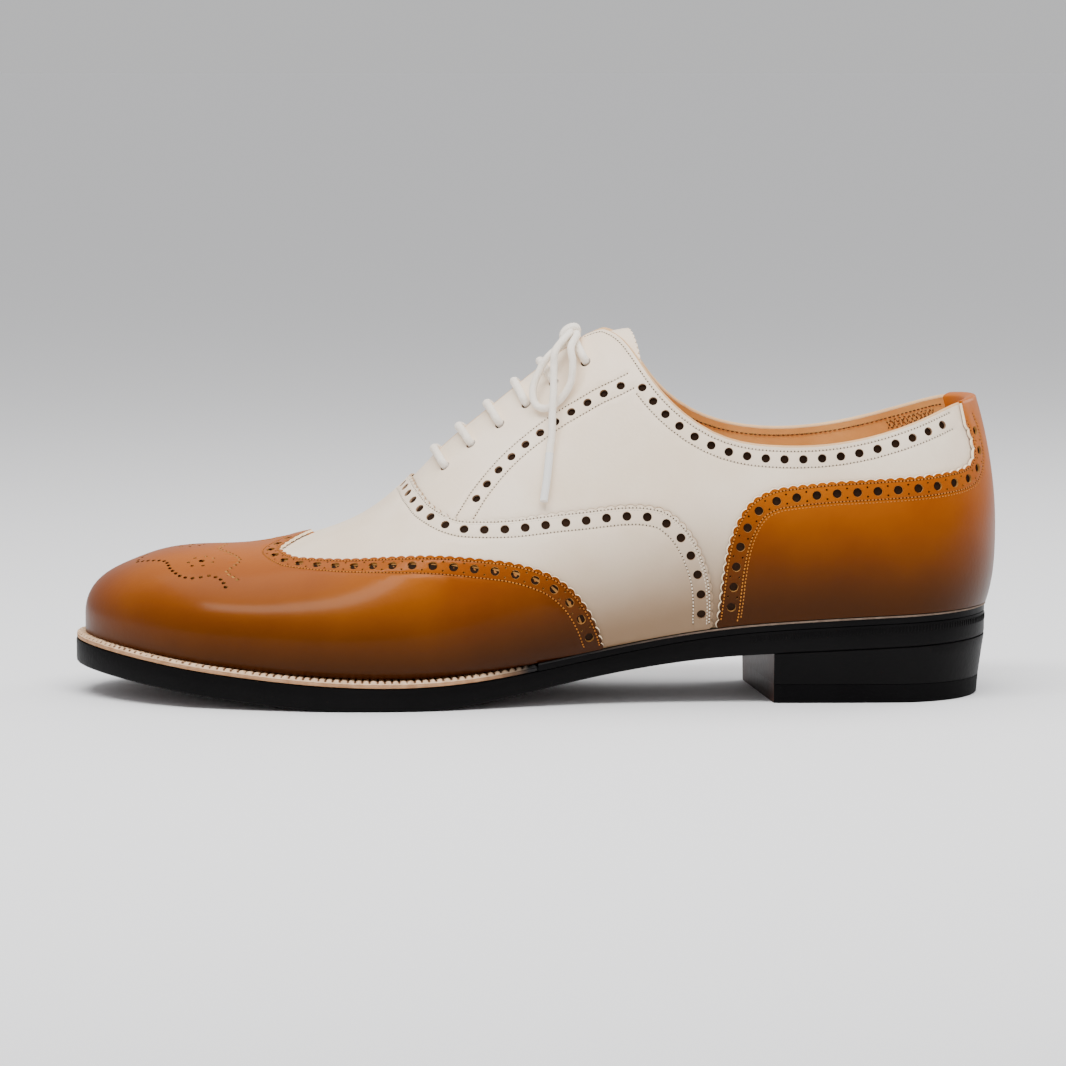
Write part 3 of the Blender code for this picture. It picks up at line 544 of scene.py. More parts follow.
def panel(outlines, holes, marks, spacing):
    """Places, depths, triangles and back places that fill the outlines, with the holes left open.

    marks are (places, depth) rows that become points of the mesh, as stitch grooves. An outline may
    come with a second loop of as many places, where the back of the piece ends."""
    places, depths, faces, backs = [], [], [], []
    for outline in outlines:
        outline, back = outline if isinstance(outline, tuple) else (outline, outline)
        flat = outline * FLAT
        loops = [flat]
        inner_loops = [back]
        for hole in holes:
            if inside(flat, (hole * FLAT)).all() and nearest(hole * FLAT, flat).min() > 0.15 * MM:
                loops.append(hole * FLAT)
                inner_loops.append(hole.mean(0) + (hole - hole.mean(0)) * HOLE_CONE)
        edges = np.vstack(loops)
        low, high = flat.min(0), flat.max(0)
        rows = []
        for k, x in enumerate(np.arange(low[0], high[0], spacing)):
            y = np.arange(low[1] + (k % 2) * spacing / 2, high[1], spacing)
            rows.append(np.stack([np.full(len(y), x), y], 1))
        inner = np.vstack(rows)
        extra, extra_depth = [np.zeros((0, 2))], [np.zeros(0)]
        for mark, depth in marks:
            mark = mark * FLAT
            mark = mark[inside(flat, mark)]
            extra.append(mark)
            extra_depth.append(np.full(len(mark), depth))
        extra = np.vstack(extra)
        keep = nearest(extra, edges) > 0.22 * MM
        for loop in loops[1:]:
            keep &= ~inside(loop, extra)
        extra, extra_depth = extra[keep], np.concatenate(extra_depth)[keep]
        inner = inner[inside(flat, inner)]
        inner = inner[nearest(inner, edges) > 0.45 * spacing]
        for loop in loops[1:]:
            inner = inner[~inside(loop, inner)]
        inner = inner[nearest(inner, extra) > 0.3 * spacing]
        corners = np.vstack([edges, extra, inner])
        given = np.concatenate([np.zeros(len(edges)), extra_depth, np.zeros(len(inner))])
        behind = np.vstack([*inner_loops, extra / FLAT, inner / FLAT])
        owner = np.concatenate([np.full(len(loop), k) for k, loop in enumerate(loops)])
        sides = []
        start = 0
        for loop in loops:
            count = len(loop)
            sides += [(start + k, start + (k + 1) % count) for k in range(count)]
            start += count
        made, _, triangles, origins, *_ = delaunay_2d_cdt(
            [Vector(corner) for corner in corners], sides, [], 1, 1e-8)
        made = np.array([tuple(place) for place in made])
        depth = np.array([given[o[0]] if o else 0.0 for o in origins])
        loop_of = np.array([owner[o[0]] if o and o[0] < len(owner) else -1 for o in origins])
        triangles = np.array([tuple(t) for t in triangles])
        ids = loop_of[triangles]
        in_hole = (ids[:, 0] > 0) & (ids[:, 0] == ids[:, 1]) & (ids[:, 1] == ids[:, 2])
        a, b, c = (made[triangles[:, k]] for k in range(3))
        area = (b[:, 0] - a[:, 0]) * (c[:, 1] - a[:, 1]) - (b[:, 1] - a[:, 1]) * (c[:, 0] - a[:, 0])
        keep = ~in_hole & (np.abs(area) > 1e-12)
        triangles, area = triangles[keep], area[keep]
        triangles[area < 0] = triangles[area < 0][:, ::-1]
        at_back = np.array([behind[o[0]] if o else made[k] / FLAT for k, o in enumerate(origins)])
        faces.append(triangles + sum(len(block) for block in places))
        backs.append(at_back)
        places.append(made / FLAT)
        depths.append(depth)
    return np.vstack(places), np.concatenate(depths), np.vstack(faces), np.vstack(backs)


def welded(places, faces):
    """Joins the places that meet across the heel and toe centre lines."""
    folded = places.copy()
    ends = np.minimum(folded[:, 0], 1 - folded[:, 0]) < 1e-6
    folded[ends, 1] = np.minimum(folded[ends, 1], 2 - folded[ends, 1])
    keys = np.round(folded * 1e5).astype(np.int64)
    _, first, index = np.unique(keys, axis=0, return_index=True, return_inverse=True)
    faces = index.reshape(-1)[faces]
    order = np.sort(faces, axis=1)
    flat = (order[:, 0] == order[:, 1]) | (order[:, 1] == order[:, 2])
    _, group, count = np.unique(order, axis=0, return_inverse=True, return_counts=True)
    return folded[first], first, faces[~flat & (count[group.reshape(-1)] == 1)]


def placed(name, data):
    """A new object in the scene."""
    thing = bpy.data.objects.new(name, data)
    bpy.context.scene.collection.objects.link(thing)
    return thing


def mesh_object(name, points, faces, slots=None, smooth_to=40, materials=()):
    mesh = bpy.data.meshes.new(name)
    faces = [tuple(int(k) for k in face) for face in faces]
    mesh.from_pydata([tuple(point) for point in points], [], faces)
    mesh.shade_smooth()
    mesh.set_sharp_from_angle(angle=math.radians(smooth_to))
    if slots is not None:
        mesh.polygons.foreach_set("material_index", np.asarray(slots, np.int32))
    for material in materials:
        mesh.materials.append(material)
    return placed(name, mesh)


def hand_over(piece, node=None):
    """A piece rides the shoe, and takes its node's place where it has one."""
    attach(piece, "root")
    if node:
        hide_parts(node)


def turned_out(points, faces):
    """The faces of a solid, all reversed where they look into it."""
    volume = 0
    for face in faces:
        for b, c in zip(face[1:], face[2:]):
            volume += np.dot(points[face[0]], np.cross(points[b], points[c]))
    return [face[::-1] for face in faces] if volume < 0 else faces


def swept_faces(rings, corners):
    """Faces that join rings of as many corners, ring by ring, and then the two ends."""
    faces = []
    for a in range(0, (rings - 1) * corners, corners):
        for c in range(corners):
            n = (c + 1) % corners
            faces.append((a + c, a + corners + c, a + corners + n, a + n))
    last = (rings - 1) * corners
    return faces + [tuple(range(corners)), tuple(range(last + corners - 1, last - 1, -1))]


def small_loops(rim):
    """The edges of the rims that close after few steps, as pinholes do."""
    after = dict(rim)
    small, seen = set(), set()
    for start in after:
        if start in seen:
            continue
        loop, at = [], start
        while at not in seen and at in after:
            seen.add(at)
            loop.append((at, after[at]))
            at = after[at]
        if len(loop) <= 18:
            small.update(loop)
    return small


def skin(name, outlines, holes, marks, low, high, materials, spacing=2.6 * MM):
    """A leather piece over the last. Its materials: face, cut edge, back and, last, punched walls."""
    places, depths, faces, backs = panel(outlines, holes, marks, spacing)
    kept, first, faces = welded(places, faces)
    depths = depths[first]
    outer = on_last(kept, high - depths)
    backs = np.where((np.abs(places[first] - backs[first]).max(1) < 1e-9)[:, None], kept, backs[first])
    inner = on_last(backs, low)
    count = len(kept)
    a, b, c = (outer[faces[:, k]] for k in range(3))
    if (np.cross(b - a, c - a) * (normal_at(kept)[faces[:, 0]])).sum() < 0:
        faces = faces[:, ::-1]
    pairs = dict.fromkeys((int(face[k]), int(face[(k + 1) % 3])) for face in faces for k in range(3))
    rim = [pair for pair in pairs if pair[::-1] not in pairs]
    small = small_loops(rim)
    solid = [*faces, *(faces[:, ::-1] + count), *[(b, a, a + count, b + count) for a, b in rim]]
    slots = [0] * len(faces) + [2] * len(faces) + [3 if edge in small else 1 for edge in rim]
    slots = np.minimum(slots, len(materials) - 1)
    return mesh_object(name, np.vstack([outer, inner]), solid, slots, 35, materials)


hole_floors = []


def floor_holes(holes, height):
    """Floors of punched holes, dark with painted shade, kept to be made at a height over the last."""
    for hole in holes:
        middle = hole.mean(0)
        hole_floors.append((on_last(middle, height - 0.12 * MM)[0],
                            on_last(middle + (hole - middle) * 0.95, height)))


def add_hole_floors():
    points, faces = [], []
    for centre, ring in hole_floors:
        base = len(points)
        points += [centre, *ring]
        count = len(ring)
        faces += [(base, base + 1 + k, base + 1 + (k + 1) % count) for k in range(count)]
    hand_over(mesh_object("painted_shade_hole_floors", points, faces, None, 60, (SHADE,)))


def hole_row(path, start, pitch=HOLE_PITCH, radius=HOLE_RADIUS):
    """Round holes along a path, with two pinholes between each pair."""
    line = even(path, pitch / 12)
    reached = distances(on_last(line))
    count = int((reached[-1] - 2 * start) // pitch)
    at = (reached[-1] - count * pitch) / 2 + pitch * np.arange(count + 1)
    holes = [circle(centre, radius, 18) for centre in read_at(at, reached, line)]
    between = at[:-1] + pitch / 2
    middles = read_at(between, reached, line)
    vectors = read_at(between, reached, sideways(line))
    pins = []
    for side in (-PIN_SPREAD, PIN_SPREAD):
        pins += [circle(centre, PIN_RADIUS, 8) for centre in moved(middles, vectors * side)]
    return holes, pins


def groove(path):
    """Three rows of mesh points that sink the leather along a stitch row."""
    path = even(path, 1.0 * MM)
    return [(path, GROOVE), (beside(path, 0.5 * MM), 0.0), (beside(path, -0.5 * MM), 0.0)]


stitch_sets = {}
needle_sets = {}


def stitch_row(kind, path, height, pitch=STITCH_PITCH, radius=STITCH_RADIUS):
    """Keeps a row of stitches to be made, with the surface's height over the last."""
    line = even(path, pitch / 2)
    if len(line) < 3:
        return
    points = on_last(line, height - GROOVE * 0.6)
    normals = normal_at(line)
    for k in range(1, len(line) - 1, 2):
        ahead = points[k + 1] - points[k - 1]
        stitch_sets.setdefault(kind, []).append((points[k], ahead, normals[k], pitch * 0.62 / 2, radius))
        needle_sets.setdefault(kind, []).append((points[k + 1] + normals[k] * 0.06 * MM, ahead, normals[k]))


def capsules(name, rows, material, corners=6):
    """Many short round-ended threads in one mesh."""
    points, faces = [], []
    for centre, ahead, normal, half, radius in rows:
        ahead = unit(ahead)
        across = unit(np.cross(normal, ahead))
        base = len(points)
        for along_it, size in ((-1.0, 0.45), (-0.6, 0.95), (0.6, 0.95), (1.0, 0.45)):
            for c in range(corners):
                turn = 2 * math.pi * c / corners
                points.append(centre + ahead * half * along_it
                              + radius * size * (across * math.cos(turn) + normal * math.sin(turn)))
        for ring in range(3):
            for c in range(corners):
                n = (c + 1) % corners
                a = base + ring * corners
                faces.append((a + c, a + n, a + corners + n, a + corners + c))
        faces.append(tuple(base + c for c in reversed(range(corners))))
        faces.append(tuple(base + 3 * corners + c for c in range(corners)))
    return mesh_object(name, points, faces, None, 60, (material,))


def dots(name, rows, material, radius=0.31 * MM):
    """Small low domes on the leather, one at each needle hole, that carry the holes' painted shade."""
    points, faces = [], []
    for centre, ahead, normal in rows:
        ahead = unit(ahead)
        across = np.cross(normal, ahead)
        base = len(points)
        points.append(centre + normal * 0.05 * MM)
        for k in range(6):
            turn = math.pi * k / 3
            points.append(centre + radius * (ahead * 0.8 * math.cos(turn) + across * math.sin(turn)))
        faces += [(base, base + 1 + k, base + 1 + (k + 1) % 6) for k in range(6)]
    return mesh_object(name, points, faces, None, 60, (material,))


def nodes_for(name):
    """A new material, its node tree and its shader."""
    material = bpy.data.materials.new(name)
    material.use_nodes = True
    tree = material.node_tree
    return material, tree, tree.nodes["Principled BSDF"]


def fill(tree, shader, inputs):
    """Sets a node's inputs to values, or links them from sockets."""
    for key, given in inputs.items():
        if isinstance(given, bpy.types.NodeSocket):
            tree.links.new(given, shader.inputs[key])
        else:
            shader.inputs[key].default_value = given


def step_of(tree, kind, inputs, **settings):
    """The outputs of a new shader node."""
    made = tree.nodes.new("ShaderNode" + kind)
    for name, value in settings.items():
        setattr(made, name, value)
    fill(tree, made, inputs)
    return made.outputs


def two_tones(tree, source, dark, light, start, end):
    """A colour that goes from one tone to another as its source goes from start to end."""
    made = tree.nodes.new("ShaderNodeValToRGB")
    stops = made.color_ramp.elements
    stops[0].position, stops[1].position = start, end
    stops[0].color, stops[1].color = (*dark, 1), (*light, 1)
    tree.links.new(source, made.inputs["Fac"])
    return made.outputs["Color"]


def painted_foot_shade(tree, place, colour, depth, reach, tint):
    """Painted shade: the colour darkened toward the sole, by the height over the foot line."""
    at = step_of(tree, "SeparateXYZ", {"Vector": place})
    foot = step_of(tree, "MapRange", {**FOOT_SLOPE, "Value": at["X"]})
    height = step_of(tree, "Math", {0: at["Z"], 1: foot["Result"]}, operation="SUBTRACT")
    share = step_of(tree, "MapRange", {
        "From Max": reach, "To Min": depth, "To Max": 0.0, "Value": height["Value"],
    }, interpolation_type="SMOOTHSTEP")
    return step_of(tree, "Mix", {"Factor": share["Result"], "A": colour, "B": (*tint, 1)},
                   data_type="RGBA", blend_type="MULTIPLY")["Result"]


def leather(name, dark, light, roughness=0.75, coat=0.0, coat_roughness=0.5, grain=0.5, gloss=0.2,
            mottle=38, grain_scale=900, low_shade=None, tint=(1, 1, 1)):
    """Grained leather: mottled colour, fine pebble bump, a waxed coat and, where asked, painted shade toward
    the foot.
    """
    material, tree, shader = nodes_for(name)
    place = tree.nodes.new("ShaderNodeTexCoord").outputs["Object"]
    cloud = step_of(tree, "TexNoise", {"Scale": mottle, "Detail": 5, "Vector": place})["Fac"]
    colour = two_tones(tree, cloud, dark, light, 0.33, 0.68)
    if low_shade:
        colour = painted_foot_shade(tree, place, colour, *low_shade)
    pebble = step_of(tree, "TexVoronoi", {"Scale": grain_scale, "Vector": place}, feature="SMOOTH_F1")
    wrinkle = step_of(tree, "TexNoise", {"Scale": grain_scale * 0.3, "Detail": 4, "Vector": place})
    relief = step_of(tree, "Math", {0: pebble["Distance"], 1: 0.6, 2: wrinkle["Fac"]},
                     operation="MULTIPLY_ADD")
    bump = step_of(tree, "Bump", {"Strength": grain, "Distance": BUMP_HEIGHT, "Height": relief["Value"]})
    rough = step_of(tree, "MapRange", {
        "To Min": roughness - 0.05, "To Max": roughness + 0.07, "Value": cloud})
    fill(tree, shader, {
        "Base Color": colour, "Normal": bump["Normal"], "Roughness": rough["Result"],
        "Coat Weight": coat, "Coat Roughness": coat_roughness,
        "Specular IOR Level": gloss, "Specular Tint": (*tint, 1),
    })
    return material


# tan and ivory calf: painted shade darkens them toward the sole
TAN = leather("tan_calf", (0.310, 0.063, 0.0001), (0.430, 0.104, 0.0001), 0.40, 0.10, 0.17, 0.12, 0.27,
              mottle=26, low_shade=(1.0, 0.055, (0.06, 0.038, 0.02)), tint=(1.0, 0.46, 0.13))
IVORY = leather("ivory_calf", (0.86, 0.69, 0.515), (0.93, 0.785, 0.62), 0.42, 0.10, 0.25, 0.22, 0.25,
                low_shade=(1.0, 0.046, (0.27, 0.205, 0.145)))
RAW = leather("raw_edge", (0.84, 0.66, 0.44), (0.94, 0.80, 0.58))
# painted shade: the vamp's pinked cut edge, darker than the same ivory leather's raw edge, for the shadow
# line under it
PAINTED_SHADE_EDGE = leather("cut_edge_painted_shade", (0.34, 0.22, 0.13), (0.50, 0.35, 0.22))
# punched walls, darker than the cut edges of the same leathers: painted shade inside the holes
HOLE_WALL_SHADE = leather("punched_wall", (0.30, 0.13, 0.03), (0.42, 0.20, 0.05), 0.7, grain=0.4)
IVORY_WALL_SHADE = leather("ivory_punched_wall", (0.26, 0.15, 0.08), (0.36, 0.22, 0.13), 0.7, grain=0.4)
TAN_RAW = leather("tan_cut_edge", (0.30, 0.09, 0.01), (0.45, 0.16, 0.03), 0.6)
TOPLINE = leather("topline_edge", (0.62, 0.36, 0.16), (0.76, 0.48, 0.24), 0.55, 0.05, 0.4, 0.4, 0.3)
LINING = leather("lining_calf", (0.72, 0.34, 0.085), (0.88, 0.50, 0.17), 0.55, 0.08, 0.4, 0.25, 0.3)
# painted shade: near-black on the hole floors, the backs of the quarters and vamp and the lining's outer
# face, where only shade shows through holes
SHADE = leather("painted_shade_backing", (0.016, 0.007, 0.003), (0.028, 0.013, 0.006), 0.8, grain=0.3, gloss=0.1)
BLACK = leather("black_sole_edge", (0.0014, 0.0012, 0.0013), (0.0026, 0.0023, 0.0024),
                0.45, 0.03, 0.25, 0.25, 0.06)
BROWN = leather("waist_leather", (0.020, 0.006, 0.003), (0.040, 0.011, 0.005), 0.45, 0.05, 0.3, 0.3, 0.1)
RUBBER = leather("heel_rubber", (0.0018, 0.0016, 0.0018), (0.0030, 0.0028, 0.0030),
                 0.62, grain=0.4, gloss=0.05)
IVORY_THREAD = leather("ivory_thread", (0.74, 0.64, 0.50), (0.84, 0.74, 0.60), 0.7, grain=0.6)
TAN_THREAD = leather("tan_thread", (0.34, 0.10, 0.006), (0.50, 0.18, 0.015), 0.6, grain=0.6, gloss=0.3)
DARK_THREAD = leather("dark_thread", (0.060, 0.022, 0.008), (0.12, 0.05, 0.018), 0.6, grain=0.6)
LACE = leather("waxed_cotton", (0.86, 0.77, 0.655), (0.93, 0.855, 0.75), 0.62, 0.05, 0.4, 0.8, 0.3, 60, 1800)
AGLET = leather("aglet_film", (0.78, 0.76, 0.71), (0.84, 0.82, 0.78), 0.22, 0.5, 0.1, 0.05, 0.5)
# painted shade: dark dots for the shadowed needle holes between stitches
IVORY_NEEDLE_SHADE = leather("ivory_needle_hole_shade", (0.06, 0.033, 0.018), (0.11, 0.065, 0.04),
                       0.8, grain=0.3, gloss=0.1)
TAN_NEEDLE_SHADE = leather("tan_needle_hole_shade", (0.03, 0.005, 0.001), (0.05, 0.010, 0.001),
                     0.8, grain=0.3, gloss=0.1)


def collar_rise(side, run_share):
    """The rise at which the rib reaches the collar."""
    rises = np.linspace(0, 1, 201)
    ribs = on_last(np.stack([np.full(201, run_share), on_side_of(side, rises)], 1))
    share = along(run_share * RUN)[0] / LAST_LENGTH
    level = foot_z(share) + collar_height[side](share) * BACK_HEIGHT
    above = ribs[:, 2] > level
    k = int(np.argmax(above)) if above.any() else 200
    low, high = ribs[k - 1, 2], ribs[k, 2]
    rise = rises[k - 1] + (rises[k] - rises[k - 1]) * min((level - low) / (high - low), 1)
    return on_side_of(side, rise)


def throat_rise(side, run_share, gap):
    """The rise at which the rib is half a throat gap from the ridge."""
    length = np.linalg.norm(on_last((run_share, 1)) - on_last((run_share, 1 + side * 0.1))) / 0.1
    return 1 + side * gap / 2 / length


THROAT_END = 0.5960
THROAT_TOP = 0.4440
COLLAR_FRONT = 0.4260


def opening_edge(side):
    """Collar and throat edge of one side, from the heel back to the throat's lower end."""
    runs = np.concatenate([np.linspace(0, 0.35, 26), np.linspace(0.36, COLLAR_FRONT, 12)])
    edge = [(run, collar_rise(side, run)) for run in runs]
    edge.append((0.4350, throat_rise(side, 0.4350, THROAT_GAP * 1.9)))
    edge.append((THROAT_TOP, throat_rise(side, THROAT_TOP, THROAT_GAP)))
    edge += [(run, throat_rise(side, run, THROAT_GAP)) for run in np.linspace(0.460, 0.588, 10)]
    return np.array(edge + [(THROAT_END, 1.0)])


def lined(start, end, count):
    return np.stack([np.linspace(start[0], end[0], count), np.linspace(start[1], end[1], count)], 1)


def joined(*edges):
    """One closed loop from edges that follow each other."""
    found = [edges[0][0]]
    for edge in edges:
        for place in edge:
            if np.linalg.norm(place - found[-1]) > 1e-7:
                found.append(place)
    if np.linalg.norm(found[0] - found[-1]) < 1e-7:
        found.pop()
    return np.array(found)


def centre_line(run, start, end):
    """Down or up a centre line at heel or toe, mirrored exactly about the ridge."""
    rises = np.unique(np.round(np.concatenate([np.linspace(0, 1, 41), 2 - np.linspace(0, 1, 41)]), 9))
    low, high = min(start, end), max(start, end)
    inner = rises[(rises > low + 0.008) & (rises < high - 0.008)]
    rises = np.concatenate([[low], inner, [high]])
    if end < start:
        rises = rises[::-1]
    return np.stack([np.full(len(rises), run), rises], 1)


def foot_line(start, end, rise):
    return lined((start, rise), (end, rise), max(2, int(abs(end - start) * RUN / (2.2 * MM))))


quarter_high = -UPPER_DEPTH
lining_high = quarter_high - 0.95 * MM
inner_low = -UPPER_DEPTH - WALL
vamp_low = SKIN_GAP - UPPER_DEPTH
vamp_high = vamp_low + VAMP_THICKNESS
cap_low = vamp_high + SKIN_GAP
cap_high = cap_low + OVERLAY_THICKNESS
counter_low = SKIN_GAP - UPPER_DEPTH
counter_high = counter_low + OVERLAY_THICKNESS

wing, vamp_edge, counter_edge = (smooth_line(rows) for rows in (WING_EDGE, VAMP_EDGE, COUNTER_EDGE))
for edge in (wing, vamp_edge, counter_edge):
    edge[:, 1] = np.clip(edge[:, 1], 0, 1)


def pinked_front(path, side, cut):
    """The forepart's outline with a pinked edge, and the outline of its back, which shows by a cut."""
    found = []
    for inset in (cut, 0.0):
        edge = pinked(even(path, PINK_PITCH / 10), -side, inset=inset)
        edge[:, 1] = np.clip(edge[:, 1], 0, 1)
        found.append(front_outline(edge))
    return tuple(found)


def front_outline(edge):
    """A closed loop of the forepart in front of an edge that runs from the ridge to the foot."""
    edge = edge.copy()
    edge[0, 1] = 1.0
    edge[-1, 1] = 0.0
    foot = edge[-1, 0]
    return joined(
        edge, foot_line(foot, 1.0, 0.0), centre_line(1.0, 0.0, 2.0),
        foot_line(1.0, foot, 2.0), mirrored(edge)[::-1],
    )


def rows_of(edge, gaps, side):
    """Paths beside an edge at given distances, on its own side of the ridge, for stitches and holes."""
    smooth = even(edge, 1.5 * MM)
    rows = [beside(smooth, side * gap) for gap in gaps]
    if edge[:, 1].mean() < 1:
        return [row[row[:, 1] < 0.992] for row in rows]
    return [row[row[:, 1] > 1.008] for row in rows]


def trimmed(path):
    """The path without the places at the foot line and at the heel's and toe's centre lines."""
    rise, run = path[:, 1], path[:, 0]
    return path[(rise > 0.012) & (rise < 1.988) & (run > 0.0) & (run < 1.0)]


def leather_side(edge, inner_place):
    """The side of an edge that its own leather lies on: -1 is the path's right, seen from outside."""
    smooth = even(edge, 4 * MM)
    k = len(smooth) // 2
    toward = on_last(inner_place)[0] - on_last(smooth[k])[0]
    return 1 if sideways(smooth)[k] @ toward > 0 else -1


wing_side = leather_side(wing, (0.75, 0.3))
vamp_side = leather_side(vamp_edge, (0.50, 0.2))
counter_side = leather_side(counter_edge, (0.15, 0.2))


def edge_work(edge, own, hole_gap, stitch_gaps, grooved, kind, height, radius=STITCH_RADIUS):
    """Holes, pinholes and sunk lines beside an edge and its mirror image; keeps their stitches.

    own is the side that the lateral edge's leather lies on; gaps are distances from the edge."""
    holes, pins, marks = [], [], []
    for side in (LATERAL, MEDIAL):
        path = mirrored(edge) if side == MEDIAL else edge
        middle, *rows = [trimmed(row) for row in rows_of(path, (hole_gap, *stitch_gaps), -side * own)]
        found = hole_row(middle, EDGE_START)
        holes += found[0]
        pins += found[1]
        for k in grooved:
            marks += groove(rows[k])
        for row in rows:
            stitch_row(kind, row, height, radius=radius)
    return holes, pins, marks


def add_overlay(name, node, outlines, holes, marks, low, high, looks):
    """A punched leather over the quarters, with floors of painted shade under its holes."""
    floor_holes(holes, low + 0.05 * MM)
    hand_over(skin(name, outlines, holes, marks, low, high, looks), node)


def add_quarters():
    near, far = opening_edge(LATERAL), opening_edge(MEDIAL)
    edge_near, edge_far = even(near, 1.2 * MM), even(far, 1.2 * MM)
    edge_far[0, 1] = 2 - edge_near[0, 1]
    outline = joined(
        edge_near, edge_far[::-1], centre_line(0.0, edge_far[0, 1], 2.0), foot_line(0.0, 1.0, 2.0),
        centre_line(1.0, 2.0, 0.0), foot_line(1.0, 0.0, 0.0), centre_line(0.0, 0.0, edge_near[0, 1]),
    )
    holes, marks = [], []
    for side, edge in ((LATERAL, near), (MEDIAL, far)):
        runs = edge[:, 0]
        collar = even(edge[runs < 0.400], 1.5 * MM)
        down = leather_side(collar, (0.2, 1 + side * 0.75))
        top = beside(even(edge[runs < 0.447], 1.5 * MM), down * 1.3 * MM)
        top = top[top[:, 0] > 0.075]
        hole_line, low = (beside(collar, down * gap * MM) for gap in (3.9, 6.6))
        hole_line, low = (row[(row[:, 0] > 0.075) & (row[:, 0] < 0.397)] for row in (hole_line, low))
        holes += hole_row(hole_line, 2.0 * MM, FACING_PITCH, FACING_RADIUS)[0]
        band = smooth_line(FACING_HOLES)
        if side == MEDIAL:
            band = mirrored(band)
        holes += hole_row(band, 1.0 * MM, FACING_PITCH, FACING_RADIUS)[0]
        low_end = [(run, on_side_of(side, rise)) for run, rise in ((0.5740, 0.470), (0.5640, 0.520))]
        band = even(np.vstack([low_end, band]), 1.5 * MM)
        beside_band = [beside(band, gap * MM) for gap in (-2.9, 2.9)]
        for row in (*[row[row[:, 0] > 0.395] for row in beside_band], top, low):
            marks += groove(row)
            stitch_row("ivory", row, quarter_high)
        inner = even(edge[(runs > 0.065) & (runs < 0.420)], 1.0 * MM)
        stitch_row("dark", beside(inner, down * 2.2 * MM), inner_low, pitch=1.6 * MM)
        hatch = even(edge[(runs > 0.070) & (runs < 0.150)], 1.7 * MM)
        for first in (0, 1):
            drops = np.where(np.arange(len(hatch)) % 2 == first, 3.2 * MM, 6.4 * MM)
            stitch_row("dark", beside(hatch, down * drops), inner_low, 1.3 * MM, 0.2 * MM)
    for run, rise, _ in BARS:
        holes += [circle((run, r), LACE_RADIUS * 1.4, 16) for r in (rise - 0.005, 2.005 - rise)]
    quarter = skin("quarters", [outline], holes, marks, quarter_high - 0.85 * MM, quarter_high,
                   (IVORY, RAW, SHADE, IVORY_WALL_SHADE))
    # the lining's outer face is painted shade, seen through the eyelets and punched holes
    lining = skin("lining", [outline], [], [], inner_low, lining_high, (SHADE, RAW, LINING), 4 * MM)
    hand_over(quarter, "upper")
    hand_over(lining)
    for side, word, edge in ((LATERAL, "lateral", edge_near), (MEDIAL, "medial", edge_far)):
        out = -leather_side(edge, (0.25, 1 + side * 0.8))
        rim(f"topline_edge_{word}", edge, out, rim_profile(), TOPLINE)
        rim(f"back_fold_{word}", edge[edge[:, 0] <= 0.0625], out, fold_profile(), TAN)


def rim_profile():
    """Heights over the last and reach past the edge of the rounded topline."""
    middle = (quarter_high + inner_low) / 2
    half = (quarter_high - inner_low) / 2
    turns = [math.pi * k / 7 for k in range(8)]
    profile = [(middle + math.cos(t) * (half + 0.02 * MM), math.sin(t) * 0.75 * MM) for t in turns]
    return profile + [(middle - half + 0.3 * MM, -0.3 * MM), (middle + half - 0.3 * MM, -0.3 * MM)]


def fold_profile():
    """The back strip's leather, turned over the topline and down inside the heel."""
    outside, inside_face = counter_high + 0.03 * MM, inner_low - 0.05 * MM
    return [
        (outside, -0.6 * MM), (outside - 0.02 * MM, 0.30 * MM), (outside - 0.45 * MM, 0.80 * MM),
        (-1.2 * MM, 0.95 * MM), (inner_low, 0.80 * MM), (inner_low - 0.65 * MM, 0.30 * MM),
        (inner_low - 0.75 * MM, -6.5 * MM), (inside_face, -6.6 * MM), (inside_face, 0.1 * MM),
        (-1.2 * MM, 0.6 * MM), (counter_low, 0.1 * MM), (counter_low, -0.5 * MM),
    ]


def rim(name, edge, out, profile, look):
    """A swept edge along the opening."""
    sections = [on_last(moved(edge, sideways(edge) * out * push), height) for height, push in profile]
    points = np.array(sections).transpose(1, 0, 2).reshape(-1, 3)
    faces = turned_out(points, swept_faces(len(edge), len(profile)))
    piece = mesh_object(name, points, faces, None, 60, (look,))
    hand_over(piece)


FACING_HOLES = [
    (0.5552, 0.563), (0.5471, 0.600), (0.5375, 0.631), (0.5275, 0.657), (0.5160, 0.678),
    (0.5034, 0.693), (0.4899, 0.705), (0.4778, 0.714), (0.4618, 0.720), (0.4466, 0.722),
    (0.4317, 0.725), (0.4153, 0.731), (0.3997, 0.746),
]


def add_vamp():
    outline = pinked_front(vamp_edge, vamp_side, 0.32 * MM)
    holes, _, marks = edge_work(vamp_edge, vamp_side, 3.6 * MM, (0.95 * MM, 1.75 * MM, 6.3 * MM), (0, 2),
                                "ivory", vamp_high, 0.2 * MM)
    add_overlay("vamp_leather", "vamp", [outline], holes, marks, vamp_low, vamp_high,
                (IVORY, PAINTED_SHADE_EDGE, SHADE, IVORY_WALL_SHADE))


def add_wing():
    outline = pinked_front(wing, wing_side, 0.28 * MM)
    holes, pins, marks = edge_work(wing, wing_side, 3.6 * MM, (1.15 * MM, 6.3 * MM), (0, 1), "tan", cap_high)
    add_overlay("wing_leather", "wing_cap", [outline], holes + pins + medallion(), marks,
                cap_low, cap_high, (TAN, RAW, TAN_RAW, HOLE_WALL_SHADE))


def on_toe(ahead, across):
    """A place on the toe, by the distance along the ridge from run 0.83 and the distance across it."""
    runs = np.linspace(0.70, 0.995, 60)
    reached = distances(on_last(np.stack([runs, np.ones(60)], 1)))
    run = np.interp(np.interp(0.83, runs, reached) + ahead, reached, runs)
    rises = np.linspace(0, 1, 40)
    side = on_last(np.stack([np.full(40, run), 1 - rises if across < 0 else 1 + rises], 1))
    rise = np.interp(abs(across), distances(side), rises)
    return np.array([run, 1 - rise if across < 0 else 1 + rise])


